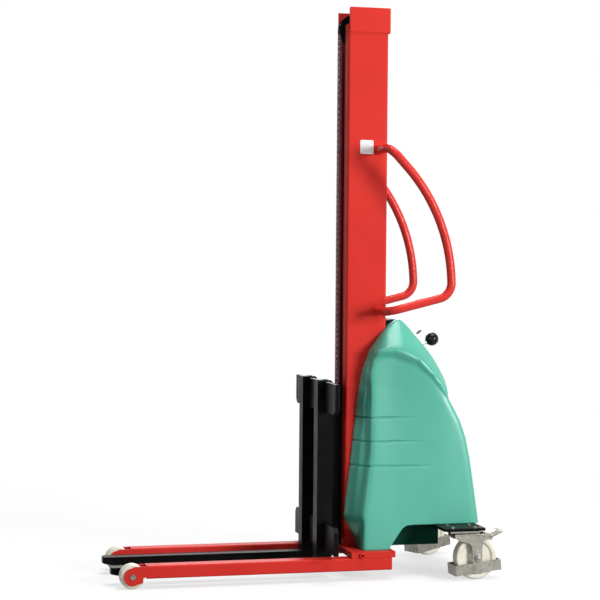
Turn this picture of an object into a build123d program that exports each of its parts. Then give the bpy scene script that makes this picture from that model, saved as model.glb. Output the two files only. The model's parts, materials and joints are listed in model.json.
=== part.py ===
from build123d import *
import math
import os

# Walk-behind stacker with a single mast. Millimetres, +Z up, floor at Z 0.
# The forks point to -X, the mast's front face is X 0 and the centre plane is Y 0.
# "Near" pieces lie on the -Y side and "far" pieces on the +Y side.
NEAR, FAR = -1, 1
HALF_ROOT = math.sqrt(0.5)

# Clearances
FIT_GAP = 0.05
RUN_GAP = 0.3
SEAT_GAP = 0.3
# How far a cut runs past the face that it opens
OVERCUT = 1

# Straddle legs and front rollers
LEG_SPACING = 351
LEG_WIDTH = 58
LEG_HEIGHT = 43
LEG_BOTTOM = 34
LEG_WALL = 5
LEG_FRONT = -712
LEG_REAR = 134
LEG_CORNER = 5
ROLLER_X = -759
ROLLER_DIAMETER = 82
ROLLER_WIDTH = 44
ROLLER_AXLE_DIAMETER = 14
ROLLER_EDGE = 4
CHEEK_RADIUS = 29
CHEEK_STEP = 34
CHEEK_CHIN = 20
CHEEK_BROW = 2
CHEEK_BROW_FRONT = 8
AXLE_HEAD_DIAMETER = 20
AXLE_HEAD_HEIGHT = 3

# Base plate across the legs
BASE_THICKNESS = 20
BASE_FRONT = -10
BASE_REAR_OVERHANG = 2
BASE_BOLT_X = 27
BASE_BOLT_DIAMETER = 18
BASE_BOLT_HEAD = 8
BASE_BOLT_SOCKET = 8

# Mast column
TOTAL_HEIGHT = 1970
MAST_WIDTH = 154
MAST_DEPTH = 144
MAST_WALL = 8
MAST_SLOT = 62
MAST_CORNER = 8
LIP_CUT = 59
CAP_HEIGHT = 86
CAP_WALL = 3
CAP_OVERHANG = 8
CAP_FRONT = 4
CAP_TOP_FRONT = 45
RAIL_THICKNESS = 8
RAIL_WIDTH = 24
RAIL_END_GAP = 80

# Blank square plate on the mast's side
PLATE_SIZE = 48
PLATE_THICKNESS = 1
PLATE_X = 68
PLATE_Z = 1487

# Push handles
HANDLE_TUBE = 30
HANDLE_WALL = 2.5
HANDLE_X = 113
HANDLE_REACH = 212
HANDLE_TOP = 1478
# Slope of the handle's three runs, in degrees down from level
HANDLE_UPPER_SLOPE = 46.95
HANDLE_GRIP_SLOPE = 87.5
HANDLE_LOW_SLOPE = 165.8
HANDLE_UPPER_STRAIGHT = 45
HANDLE_GRIP_STRAIGHT = 8.5
HANDLE_ROOT_RADIUS = 45
HANDLE_SWEEP_RADIUS = 600
HANDLE_HEEL_RADIUS = 55

# Lift chain, sheave and rod pulley
CHAIN_FRONT = -10
CHAIN_WIDTH = 18
CHAIN_THICKNESS = 10
CHAIN_PITCH = 19.05
CHAIN_SIDE = 3.5
CHAIN_ROLLER = 8.5
SHEAVE_TOP_GAP = 72
SHEAVE_FLANGE = 3
SHEAVE_RIM = 6
SHEAVE_PIN_DIAMETER = 20
PULLEY_RADIUS = 20
PULLEY_FLANGE = 2.5
PULLEY_RIM = 4
PULLEY_PIN_DIAMETER = 12

# Lift cylinder, standing in the rear of the mast
LIFT_TRAVEL = 1400
CYLINDER_DIAMETER = 44
CYLINDER_BORE = 36
CYLINDER_LENGTH = 838
CYLINDER_FOOT = 14
GLAND_HEIGHT = 20
CYLINDER_X = 108
ROD_DIAMETER = 22
PISTON_HEIGHT = 30
PULLEY_DROP = 165
CLEVIS_EAR = 6
CLEVIS_NECK = 40
CLEVIS_CHAIN_GAP = 2
ANCHOR_DROP = 85
ANCHOR_HEIGHT = 30
ANCHOR_WIDTH = 40

# Fork carriage
BAR_LENGTH = 542
BAR_THICKNESS = 17
BAR_FRONT = -91
UPPER_BAR_HEIGHT = 103
UPPER_BAR_TOP = 676
LOWER_BAR_HEIGHT = 95
LOWER_BAR_BOTTOM = 98
BAR_CHAMFER = 16
SIDE_PLATE_GAP = 40
SIDE_PLATE_THICKNESS = 8
SIDE_PLATE_FRONT_DEPTH = 84
GUIDE_ROLLER_DIAMETER = 70
GUIDE_ROLLER_WIDTH = 30
GUIDE_ROLLER_EDGE = 2
GUIDE_SHAFT_DIAMETER = 24
GUIDE_SHAFT_HEAD = 34
GUIDE_SHAFT_END = 3
GUIDE_SPACER = 5
LOWER_ROLLER_Z = 200
UPPER_ROLLER_Z = 420
EAR_HEIGHT = 70
EAR_PAST_SHAFT = 16
CLEVIS_BLOCK_HEIGHT = 40
CLEVIS_BLOCK_DEPTH = 28
CLEVIS_BLOCK_Z = 260

# Forks
FORK_SPACING = 208
FORK_WIDTH = 50
FORK_THICKNESS = 34
FORK_BOTTOM = 27
FORK_TIP = -821
FORK_TIP_ROUND = 14
FORK_TIP_BEVEL = 12
FORK_TIP_BEVEL_LENGTH = 72
UPRIGHT_FRONT_THICKNESS = 23
UPRIGHT_DEPTH = 54
UPRIGHT_CHEEK = 8
UPRIGHT_OVER_BAR = 6
UPRIGHT_TOP_ROUND = 14
FORK_SCREW_DIAMETER = 14
FORK_SCREW_HEIGHT = 4
FORK_SCREW_SOCKET = 6
FORK_SCREW_DROP = 26

# Rear frame and undertray
REAR_PLATE_THICKNESS = 10
REAR_PLATE_BOTTOM = 170
REAR_PLATE_FRONT = 298
REAR_PLATE_REAR = 446
REAR_PLATE_HALF = 276
BEAM_WIDTH = 80
BEAM_HEIGHT = 60
BEAM_WALL = 5
TRAY_HALF = 85
TRAY_REAR = 340
TRAY_WALL = 3
TRAY_FRONT_GAP = 4
TRAY_TOP_GAP = 2
TRAY_BOTTOM_GAP = 1

# Castors
CASTOR_X = 370
CASTOR_SPACING = 476
NEAR_CASTOR_TURN = 2
FAR_CASTOR_TURN = 26
CASTOR_TRAIL = 51
CASTOR_WHEEL = 150
CASTOR_TREAD = 40
CASTOR_HUB_DIAMETER = 46
CASTOR_HUB_LENGTH = 57
CASTOR_AXLE = 16
CASTOR_NUT = 25
CASTOR_NUT_HEIGHT = 8
CASTOR_DISH_DIAMETER = 114
CASTOR_DISH_DEPTH = 8
CASTOR_PLATE_LENGTH = 104
CASTOR_PLATE_WIDTH = 86
CASTOR_PLATE_THICKNESS = 6
CASTOR_BOLT_LENGTH_PITCH = 80
CASTOR_BOLT_WIDTH_PITCH = 60
CASTOR_BOLT = 9
CASTOR_BOLT_HEAD = 14
CASTOR_BOLT_HEAD_HEIGHT = 5
CASTOR_BOLT_END = 1
CASTOR_KING_PIN = 14
CROWN_THICKNESS = 6
CROWN_OVER_WHEEL = 2
CROWN_MARGIN = 4
CASTOR_LEG = 5
CASTOR_LEG_FOOT = 44
CASTOR_LEG_WIDTH = 38
CASTOR_WEB_BOTTOM = 118
RACE_DIAMETER = 62
GUARD_FRONT_GAP = 10
GUARD_HEIGHT = 36
GUARD_MIDDLE = 43
GUARD_TILT = 6
GUARD_WALL = 4
PEDAL_PIVOT_X = 98
PEDAL_PIVOT_Z = 150
PEDAL_PIN = 10
PEDAL_PIN_END = 2
PEDAL_REACH = 148
PEDAL_WIDTH = 44
PEDAL_SHEET = 4
PEDAL_TIP_Z = 164
SHOE_LENGTH = 20
SHOE_GAP = 2.5

# Hood
HOOD_HALF = 172
HOOD_SKIN = 4
HOOD_MAST_GAP = 2
HOOD_ARCH = 181
HOOD_ARCH_START = 131
HOOD_ARCH_CORNER = 189
HOOD_ARCH_ROUND = 40
HOOD_SHOULDER = 783
HOOD_SHOULDER_REAR = 150
HOOD_SILL_REAR = 464
HOOD_REAR = [(448, 291), (431, 400), (414, 480), (392, 540), (358, 603), (324, 654), (284, 703), (234, 751)]
HOOD_ROUND = 40
# Front edge from the shoulder down: X at the mast, Z, and how far it sweeps back to the side
HOOD_FRONT = [
    (84, HOOD_SHOULDER, 24),
    (53, 700, 34),
    (36, 600, 38),
    (-7, 205, 44),
    (37, 117, -8),
    (37, 90, -8),
]
DOME_HALF = 146
DOME_FOOT_Z = 768
DOME_TOP_HALF = 62
DOME_RIM = (134, 848)
DOME_APEX = (196, 884)
DOME_FACE_TOP = (222, 862)
DOME_FACE_MID = (287, 776)
DOME_FACE_LOW = (345, 673)
DOME_HEEL = (352, 640)
DOME_ROUND = 16
RIDGE_LEAST = 56
GROOVE_WIDTH = 6
GROOVE_DEPTH = 2.5
GROOVES = [(552, 245), (470, 275), (385, 310)]

# Battery and power unit under the hood
BATTERY_FRONT = 228
BATTERY_LENGTH = 174
BATTERY_HALF = 150
BATTERY_HEIGHT = 220
BATTERY_ROUND = 6
TERMINAL_DIAMETER = 18
TERMINAL_HEIGHT = 16
TERMINAL_INSET = 35
SHELF_Z = 428
SHELF_THICKNESS = 8
SHELF_LENGTH = 186
SHELF_HALF = 110
SHELF_BACK_HEIGHT = 180
SHELF_BACK_HALF = 70
TANK_LENGTH = 160
TANK_WIDTH = 95
TANK_HEIGHT = 172
TANK_ROUND = 12
PUMP_BLOCK = 70
MOTOR_DIAMETER = 96
MOTOR_LENGTH = 180
MOTOR_BELL_DIAMETER = 77
MOTOR_BELL_LENGTH = 27
MOTOR_Y = -58
MOTOR_X_OFFSET = 92

# Control lever and key on the hood's rear face
LEVER_DIAMETER = 10
LEVER_KNOB = (338, 816)
LEVER_RISE = 27.3
LEVER_PIVOT_DEPTH = 34
LEVER_HUB = 18
KNOB_DIAMETER = 45
KNOB_SOCKET = 18
LEVER_SLOT_LENGTH = 36
LEVER_SLOT_WIDTH = 14
LEVER_PIN_DIAMETER = 8
BRACKET_WIDTH = 56
BRACKET_LENGTH = 76
BRACKET_SHEET = 4
KEY_Y = -40
KEY_Z = 825
SWITCH_DIAMETER = 20
SWITCH_COLLAR = 27
SWITCH_COLLAR_HEIGHT = 5
SWITCH_DEPTH = 34
KEY_LENGTH = 30
KEY_BLADE = 8
KEY_BOW = 20
KEY_SHEET = 3
KEY_PLUG = 12

# Places worked out from the sizes above
LEG_Y = LEG_SPACING / 2
LEG_TOP = LEG_BOTTOM + LEG_HEIGHT
LEG_OUTER = LEG_Y + LEG_WIDTH / 2
BASE_TOP = LEG_TOP + BASE_THICKNESS
BASE_REAR = MAST_DEPTH + BASE_REAR_OVERHANG
MAST_HALF = MAST_WIDTH / 2
MAST_TOP = TOTAL_HEIGHT - CAP_WALL
LIP_TOP = TOTAL_HEIGHT - LIP_CUT
MAST_INNER_REAR = MAST_DEPTH - MAST_WALL
CHAIN_REAR = CYLINDER_X - PULLEY_RADIUS
SHEAVE_RADIUS = (CHAIN_REAR - CHAIN_FRONT) / 2
SHEAVE_X = (CHAIN_REAR + CHAIN_FRONT) / 2
SHEAVE_Z = TOTAL_HEIGHT - SHEAVE_TOP_GAP
PULLEY_Z = SHEAVE_Z - PULLEY_DROP
BAR_REAR = BAR_FRONT + BAR_THICKNESS
GUIDE_X = MAST_WALL + RUN_GAP + GUIDE_ROLLER_DIAMETER / 2
RAIL_FRONT = GUIDE_X + GUIDE_ROLLER_DIAMETER / 2 + RUN_GAP
SIDE_PLATE_INNER = SIDE_PLATE_GAP / 2
SIDE_PLATE_OUTER = SIDE_PLATE_INNER + SIDE_PLATE_THICKNESS
FORK_TOP = FORK_BOTTOM + FORK_THICKNESS
UPRIGHT_FRONT = BAR_FRONT - SEAT_GAP - UPRIGHT_FRONT_THICKNESS
UPRIGHT_REAR = UPRIGHT_FRONT + UPRIGHT_DEPTH
UPRIGHT_TOP = UPPER_BAR_TOP + UPRIGHT_OVER_BAR
REAR_PLATE_TOP = REAR_PLATE_BOTTOM + REAR_PLATE_THICKNESS
CASTOR_Y = CASTOR_SPACING / 2
WHEEL_RADIUS = CASTOR_WHEEL / 2
CROWN_BOTTOM = CASTOR_WHEEL + CROWN_OVER_WHEEL
CASTOR_PLATE_BOTTOM = REAR_PLATE_BOTTOM - CASTOR_PLATE_THICKNESS
LEG_INNER_FACE = CASTOR_HUB_LENGTH / 2 + RUN_GAP
LEG_OUTER_FACE = LEG_INNER_FACE + CASTOR_LEG
HOOD_BOTTOM = BASE_TOP + SEAT_GAP
HOOD_NOTCH = MAST_HALF + HOOD_MAST_GAP
LEVER_DIR = Vector(math.cos(math.radians(LEVER_RISE)), 0, math.sin(math.radians(LEVER_RISE)))
KNOB_CENTRE = Vector(LEVER_KNOB[0], 0, LEVER_KNOB[1])


def dome_face_centre():
    """Centre and radius of the round that the dome's rear face follows."""
    (ax, az), (bx, bz), (cx, cz) = DOME_FACE_TOP, DOME_FACE_MID, DOME_FACE_LOW
    turn = 2 * (ax * (bz - cz) + bx * (cz - az) + cx * (az - bz))
    a, b, c = ax * ax + az * az, bx * bx + bz * bz, cx * cx + cz * cz
    x = (a * (bz - cz) + b * (cz - az) + c * (az - bz)) / turn
    z = (a * (cx - bx) + b * (ax - cx) + c * (bx - ax)) / turn
    return Vector(x, 0, z), math.hypot(ax - x, az - z)


FACE_CENTRE, FACE_RADIUS = dome_face_centre()
KNOB_OFFSET = KNOB_CENTRE - FACE_CENTRE
KNOB_ALONG = KNOB_OFFSET.dot(LEVER_DIR)
LEVER_FACE_DISTANCE = KNOB_ALONG - math.sqrt(KNOB_ALONG ** 2 - KNOB_OFFSET.length ** 2 + FACE_RADIUS ** 2)
LEVER_AT_FACE = KNOB_CENTRE - LEVER_DIR * LEVER_FACE_DISTANCE
LEVER_PIVOT = LEVER_AT_FACE - LEVER_DIR * LEVER_PIVOT_DEPTH
BRACKET_DEPTH = HOOD_SKIN + (BRACKET_LENGTH / 2) ** 2 / (2 * FACE_RADIUS) + SEAT_GAP
SWITCH_RUN = math.sqrt(FACE_RADIUS ** 2 - (KEY_Z - FACE_CENTRE.Z) ** 2)
SWITCH_AT_FACE = Vector(FACE_CENTRE.X + SWITCH_RUN, KEY_Y, KEY_Z)


def block(x0, x1, y0, y1, z0, z1):
    """Box between two corners."""
    return Pos((x0 + x1) / 2, (y0 + y1) / 2, (z0 + z1) / 2) * Box(x1 - x0, y1 - y0, z1 - z0)


def bar_y(x, z, diameter, y0, y1):
    """Round bar along Y."""
    return Pos(x, (y0 + y1) / 2, z) * Rot(90, 0, 0) * Cylinder(diameter / 2, abs(y1 - y0))


def bar_z(x, y, diameter, z0, z1):
    """Round bar along Z."""
    return Pos(x, y, (z0 + z1) / 2) * Cylinder(diameter / 2, z1 - z0)


def plate_xz(points, y0, y1):
    """Plate with an outline in X and Z, between two Y faces."""
    outline = Polyline(*[(x, y0, z) for x, z in points], close=True)
    return extrude(make_face(outline), amount=y1 - y0, dir=(0, 1, 0))


def flip(solid):
    """The same piece on the other side of the centre plane."""
    return mirror(solid, about=Plane.XZ)


def place(side, solid):
    """A piece drawn on the far side, put on the side asked for."""
    return solid if side == FAR else flip(solid)


def leg():
    """Hollow straddle leg with two roller cheeks at its front end."""
    inner, outer = LEG_Y - LEG_WIDTH / 2, LEG_OUTER
    tube = block(LEG_FRONT, LEG_REAR, inner, outer, LEG_BOTTOM, LEG_TOP)
    tube = fillet(tube.edges().filter_by(Axis.X), LEG_CORNER)
    axle_z = ROLLER_DIAMETER / 2
    step = ROLLER_X + CHEEK_STEP
    outline = [
        (LEG_FRONT + LEG_WALL, LEG_TOP - CHEEK_BROW),
        (ROLLER_X + CHEEK_BROW_FRONT, LEG_TOP - CHEEK_BROW),
        (ROLLER_X - CHEEK_RADIUS * HALF_ROOT, axle_z + CHEEK_RADIUS * HALF_ROOT),
        (ROLLER_X, axle_z - CHEEK_RADIUS),
        (step, axle_z - CHEEK_CHIN),
        (step, LEG_BOTTOM + LEG_CORNER),
        (LEG_FRONT + LEG_WALL, LEG_BOTTOM + LEG_CORNER),
    ]
    cheek = plate_xz(outline, inner, outer) + bar_y(ROLLER_X, axle_z, 2 * CHEEK_RADIUS, inner, outer)
    body = tube + cheek
    body -= block(ROLLER_X - ROLLER_DIAMETER, LEG_REAR + OVERCUT, inner + LEG_WALL, outer - LEG_WALL,
                  LEG_BOTTOM + LEG_WALL, LEG_TOP - LEG_WALL)
    body -= block(ROLLER_X - ROLLER_DIAMETER, LEG_FRONT, inner + LEG_WALL, outer - LEG_WALL,
                  -OVERCUT, LEG_TOP + OVERCUT)
    body -= bar_y(ROLLER_X, axle_z, ROLLER_AXLE_DIAMETER, inner - OVERCUT, outer + OVERCUT)
    return body


def roller():
    """Front load roller."""
    half = ROLLER_WIDTH / 2
    wheel = bar_y(ROLLER_X, ROLLER_DIAMETER / 2, ROLLER_DIAMETER, LEG_Y - half, LEG_Y + half)
    wheel = fillet(wheel.edges().filter_by(GeomType.CIRCLE), ROLLER_EDGE)
    return wheel - bar_y(ROLLER_X, ROLLER_DIAMETER / 2, ROLLER_AXLE_DIAMETER + 2 * FIT_GAP, 0, 2 * LEG_Y)


def roller_axle():
    """Axle across the roller cheeks, with a flat head on each side."""
    axle_z = ROLLER_DIAMETER / 2
    inner, outer = LEG_Y - LEG_WIDTH / 2, LEG_OUTER
    axle = bar_y(ROLLER_X, axle_z, ROLLER_AXLE_DIAMETER, inner - AXLE_HEAD_HEIGHT, outer + AXLE_HEAD_HEIGHT)
    axle += bar_y(ROLLER_X, axle_z, AXLE_HEAD_DIAMETER, outer, outer + AXLE_HEAD_HEIGHT)
    return axle + bar_y(ROLLER_X, axle_z, AXLE_HEAD_DIAMETER, inner - AXLE_HEAD_HEIGHT, inner)


def base_plate():
    """Thick plate across both legs, carrying the mast."""
    plate = block(BASE_FRONT, BASE_REAR, -LEG_OUTER, LEG_OUTER, LEG_TOP, BASE_TOP)
    for side in (NEAR, FAR):
        plate -= base_bolt_shank(side)
    return plate


def base_bolt_shank(side):
    """Shank of a base bolt, in the edge of the base plate."""
    return place(side, bar_y(BASE_BOLT_X, (LEG_TOP + BASE_TOP) / 2, BASE_BOLT_DIAMETER / 2,
                             LEG_Y, LEG_OUTER))


def base_bolt(side):
    """Socket-head bolt in the edge of the base plate."""
    z = (LEG_TOP + BASE_TOP) / 2
    head = bar_y(BASE_BOLT_X, z, BASE_BOLT_DIAMETER, LEG_OUTER, LEG_OUTER + BASE_BOLT_HEAD)
    recess = LEG_OUTER + BASE_BOLT_HEAD / 2
    head -= bar_y(BASE_BOLT_X, z, BASE_BOLT_SOCKET, recess, recess + BASE_BOLT_HEAD)
    return place(side, head) + base_bolt_shank(side)


def mast_column():
    """C-section column with its slot to the front."""
    column = block(0, MAST_DEPTH, -MAST_HALF, MAST_HALF, BASE_TOP, MAST_TOP)
    column = fillet(column.edges().filter_by(Axis.Z), MAST_CORNER)
    inner, slot = MAST_HALF - MAST_WALL, MAST_SLOT / 2
    low, high = BASE_TOP - OVERCUT, MAST_TOP + OVERCUT
    column -= block(MAST_WALL, MAST_INNER_REAR, -inner, inner, low, high)
    column -= block(-OVERCUT, MAST_WALL + OVERCUT, -slot, slot, low, high)
    column -= block(-OVERCUT, CAP_FRONT, -MAST_WIDTH, MAST_WIDTH, LIP_TOP, high)
    column -= block(-OVERCUT, MAST_WALL + OVERCUT, -inner, inner, LIP_TOP, high)
    return column - bar_y(SHEAVE_X, SHEAVE_Z, SHEAVE_PIN_DIAMETER, -MAST_WIDTH, MAST_WIDTH)


def guide_rail():
    """Flat strip inside the mast that the guide rollers run on."""
    wall = MAST_HALF - MAST_WALL
    top = TOTAL_HEIGHT - RAIL_END_GAP
    return block(RAIL_FRONT, RAIL_FRONT + RAIL_THICKNESS, wall - RAIL_WIDTH, wall, BASE_TOP, top)


def head_cap():
    """Folded cap over the mast's top, open at the front over the sheave."""
    half = MAST_HALF + CAP_WALL
    rear = MAST_DEPTH + CAP_OVERHANG
    low = TOTAL_HEIGHT - CAP_HEIGHT
    cap = block(CAP_FRONT, rear, -half, half, low, TOTAL_HEIGHT)
    cap = fillet(cap.edges().filter_by(Axis.Z).sort_by(Axis.X)[-2:], MAST_CORNER)
    cap -= block(CAP_FRONT - OVERCUT, CAP_TOP_FRONT, -MAST_HALF, MAST_HALF, low, TOTAL_HEIGHT + OVERCUT)
    return cap - block(CAP_FRONT - OVERCUT, rear - CAP_WALL, -MAST_HALF, MAST_HALF, low - OVERCUT, MAST_TOP)


def label_plate():
    """Blank square plate on the mast's near side."""
    half = PLATE_SIZE / 2
    outer = -MAST_HALF - PLATE_THICKNESS
    return block(PLATE_X - half, PLATE_X + half, outer, -MAST_HALF, PLATE_Z - half, PLATE_Z + half)


def handle():
    """Bent push handle of round tube, from the mast's side back to it."""
    upper, grip, low = [math.radians(a) for a in (HANDLE_UPPER_SLOPE, HANDLE_GRIP_SLOPE, HANDLE_LOW_SLOPE)]
    sweep_start = HANDLE_SWEEP_RADIUS * math.tan((grip - upper) / 2)
    heel_start = HANDLE_HEEL_RADIUS * math.tan((low - grip) / 2)
    upper_run = HANDLE_ROOT_RADIUS + HANDLE_UPPER_STRAIGHT + sweep_start
    grip_run = sweep_start + HANDLE_GRIP_STRAIGHT + heel_start
    root = Vector(HANDLE_X, HANDLE_REACH, HANDLE_TOP)
    shoulder = root + Vector(math.cos(upper), 0, -math.sin(upper)) * upper_run
    heel = shoulder + Vector(math.cos(grip), 0, -math.sin(grip)) * grip_run
    foot = Vector(HANDLE_X, HANDLE_REACH, heel.Z - (HANDLE_X - heel.X) * math.tan(low))
    route = FilletPolyline(
        (HANDLE_X, MAST_HALF, HANDLE_TOP),
        root,
        shoulder,
        heel,
        foot,
        (HANDLE_X, MAST_HALF, foot.Z),
        radius=[HANDLE_ROOT_RADIUS, HANDLE_SWEEP_RADIUS, HANDLE_HEEL_RADIUS, HANDLE_ROOT_RADIUS],
    )
    start = Plane(origin=route @ 0, z_dir=route % 0)
    ring = start * (Circle(HANDLE_TUBE / 2) - Circle(HANDLE_TUBE / 2 - HANDLE_WALL))
    return sweep(ring, path=route)


def wheel_with_groove(x, z, pitch_radius, rim, flange, pin):
    """Chain wheel with a flat groove that clears the chain."""
    half = CHAIN_WIDTH / 2 + RUN_GAP
    wheel = bar_y(x, z, 2 * (pitch_radius + rim), -half - flange, half + flange)
    root = pitch_radius - CHAIN_THICKNESS / 2 - RUN_GAP
    groove = bar_y(x, z, 2 * (pitch_radius + rim + OVERCUT), -half, half)
    groove -= bar_y(x, z, 2 * root, -half, half)
    return wheel - groove - bar_y(x, z, pin + 2 * FIT_GAP, -MAST_WIDTH, MAST_WIDTH)


def chain_ring(x, z, pitch_radius, upper):
    """Half turn of chain over or under a wheel."""
    half = CHAIN_WIDTH / 2
    reach = pitch_radius + CHAIN_THICKNESS
    ring = bar_y(x, z, 2 * pitch_radius + CHAIN_THICKNESS, -half, half)
    ring -= bar_y(x, z, 2 * pitch_radius - CHAIN_THICKNESS, -half - OVERCUT, half + OVERCUT)
    low, high = (z - reach, z) if upper else (z, z + reach)
    return ring - block(x - reach, x + reach, -half - OVERCUT, half + OVERCUT, low, high)


def chain_strand(x, z0, z1):
    """Straight run of chain: two rows of side plates with rollers between."""
    half = CHAIN_WIDTH / 2
    reach = CHAIN_THICKNESS / 2
    strand = block(x - reach, x + reach, half - CHAIN_SIDE, half, z0, z1)
    strand += block(x - reach, x + reach, -half, CHAIN_SIDE - half, z0, z1)
    count = int((z1 - z0) / CHAIN_PITCH)
    first = z0 + (z1 - z0 - (count - 1) * CHAIN_PITCH) / 2
    places = [first + i * CHAIN_PITCH for i in range(count)]
    return strand + [bar_y(x, z, CHAIN_ROLLER, CHAIN_SIDE - half, half - CHAIN_SIDE) for z in places]


def chain_anchor():
    """Block on the mast's rear wall that holds the chain's end."""
    z = SHEAVE_Z - ANCHOR_DROP
    reach = CHAIN_THICKNESS / 2 + CLEVIS_EAR
    front = CYLINDER_X + PULLEY_RADIUS - reach
    return block(front, MAST_INNER_REAR, -ANCHOR_WIDTH / 2, ANCHOR_WIDTH / 2, z, z + ANCHOR_HEIGHT)


def lift_cylinder():
    """Lift cylinder tube with its foot and gland."""
    top = BASE_TOP + CYLINDER_LENGTH
    tube = bar_z(CYLINDER_X, 0, CYLINDER_DIAMETER, BASE_TOP, top)
    tube -= bar_z(CYLINDER_X, 0, CYLINDER_BORE, BASE_TOP + CYLINDER_FOOT, top - GLAND_HEIGHT)
    gland = top - GLAND_HEIGHT
    return tube - bar_z(CYLINDER_X, 0, ROD_DIAMETER + 2 * FIT_GAP, gland - OVERCUT, top + OVERCUT)


def piston_rod():
    """Piston rod, pushed out while the forks are down."""
    piston_top = BASE_TOP + CYLINDER_LENGTH - GLAND_HEIGHT - 2 * SEAT_GAP
    rod = bar_z(CYLINDER_X, 0, ROD_DIAMETER, piston_top - PISTON_HEIGHT, PULLEY_Z - CLEVIS_NECK)
    return rod + bar_z(CYLINDER_X, 0, CYLINDER_BORE - 2 * FIT_GAP, piston_top - PISTON_HEIGHT, piston_top)


def rod_clevis():
    """Clevis on the rod's end, with the pulley's pin."""
    inner = CHAIN_WIDTH / 2 + 2 * RUN_GAP + PULLEY_FLANGE
    outer = inner + CLEVIS_EAR
    reach = ROD_DIAMETER / 2
    front, rear = CYLINDER_X - reach, CYLINDER_X + reach
    low = PULLEY_Z - CLEVIS_NECK
    clear = PULLEY_Z - PULLEY_RADIUS - CHAIN_THICKNESS / 2 - CLEVIS_CHAIN_GAP
    body = block(front, rear, -outer, outer, low, clear)
    for side in (NEAR, FAR):
        body += place(side, block(front, rear, inner, outer, low, PULLEY_Z + reach))
    return body + bar_y(CYLINDER_X, PULLEY_Z, PULLEY_PIN_DIAMETER, -outer, outer)


def carriage_bar(z0, z1, chamfer_low):
    """Cross bar of the carriage, with two cut corners."""
    half, inner = BAR_LENGTH / 2, BAR_LENGTH / 2 - BAR_CHAMFER
    if chamfer_low:
        square, cut, step = z1, z0, z0 + BAR_CHAMFER
    else:
        square, cut, step = z0, z1, z1 - BAR_CHAMFER
    outline = [(-half, square), (half, square), (half, step), (inner, cut), (-inner, cut), (-half, step)]
    face = make_face(Polyline(*[(BAR_FRONT, y, z) for y, z in outline], close=True))
    return extrude(face, amount=BAR_THICKNESS, dir=(1, 0, 0))


def carriage_side_plate():
    """Upright plate behind the bars, with an ear into the mast for each guide roller."""
    rear = BAR_REAR + SIDE_PLATE_FRONT_DEPTH
    ear_end = GUIDE_X + EAR_PAST_SHAFT
    low, high = LOWER_BAR_BOTTOM + BAR_CHAMFER, UPPER_BAR_TOP - BAR_CHAMFER
    plate = block(BAR_REAR, rear, SIDE_PLATE_INNER, SIDE_PLATE_OUTER, low, high)
    for z in (LOWER_ROLLER_Z, UPPER_ROLLER_Z):
        ear_low, ear_high = z - EAR_HEIGHT / 2, z + EAR_HEIGHT / 2
        plate += block(rear, ear_end, SIDE_PLATE_INNER, SIDE_PLATE_OUTER, ear_low, ear_high)
        plate -= bar_y(GUIDE_X, z, GUIDE_SHAFT_DIAMETER, 0, MAST_WIDTH)
    return plate


def guide_roller(z):
    """Guide roller that runs behind the mast's lip."""
    inner = SIDE_PLATE_OUTER + GUIDE_SPACER
    wheel = bar_y(GUIDE_X, z, GUIDE_ROLLER_DIAMETER, inner, inner + GUIDE_ROLLER_WIDTH)
    wheel = fillet(wheel.edges().filter_by(GeomType.CIRCLE), GUIDE_ROLLER_EDGE)
    return wheel - bar_y(GUIDE_X, z, GUIDE_SHAFT_DIAMETER + 2 * FIT_GAP, 0, MAST_WIDTH)


def guide_shaft(z):
    """Stub shaft of a guide roller, with a spacer collar and a retaining head."""
    roller_inner = SIDE_PLATE_OUTER + GUIDE_SPACER
    roller_outer = roller_inner + GUIDE_ROLLER_WIDTH
    shaft = bar_y(GUIDE_X, z, GUIDE_SHAFT_DIAMETER, SIDE_PLATE_INNER, roller_outer + RUN_GAP)
    shaft += bar_y(GUIDE_X, z, GUIDE_SHAFT_HEAD, SIDE_PLATE_OUTER, roller_inner - RUN_GAP)
    end = roller_outer + GUIDE_SHAFT_END
    return shaft + bar_y(GUIDE_X, z, GUIDE_SHAFT_HEAD, roller_outer + RUN_GAP, end)


def chain_clevis():
    """Block between the side plates that the chain pulls on."""
    half = CLEVIS_BLOCK_DEPTH / 2
    return block(CHAIN_FRONT - half, CHAIN_FRONT + half, -SIDE_PLATE_INNER, SIDE_PLATE_INNER,
                 CLEVIS_BLOCK_Z, CLEVIS_BLOCK_Z + CLEVIS_BLOCK_HEIGHT)


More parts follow.
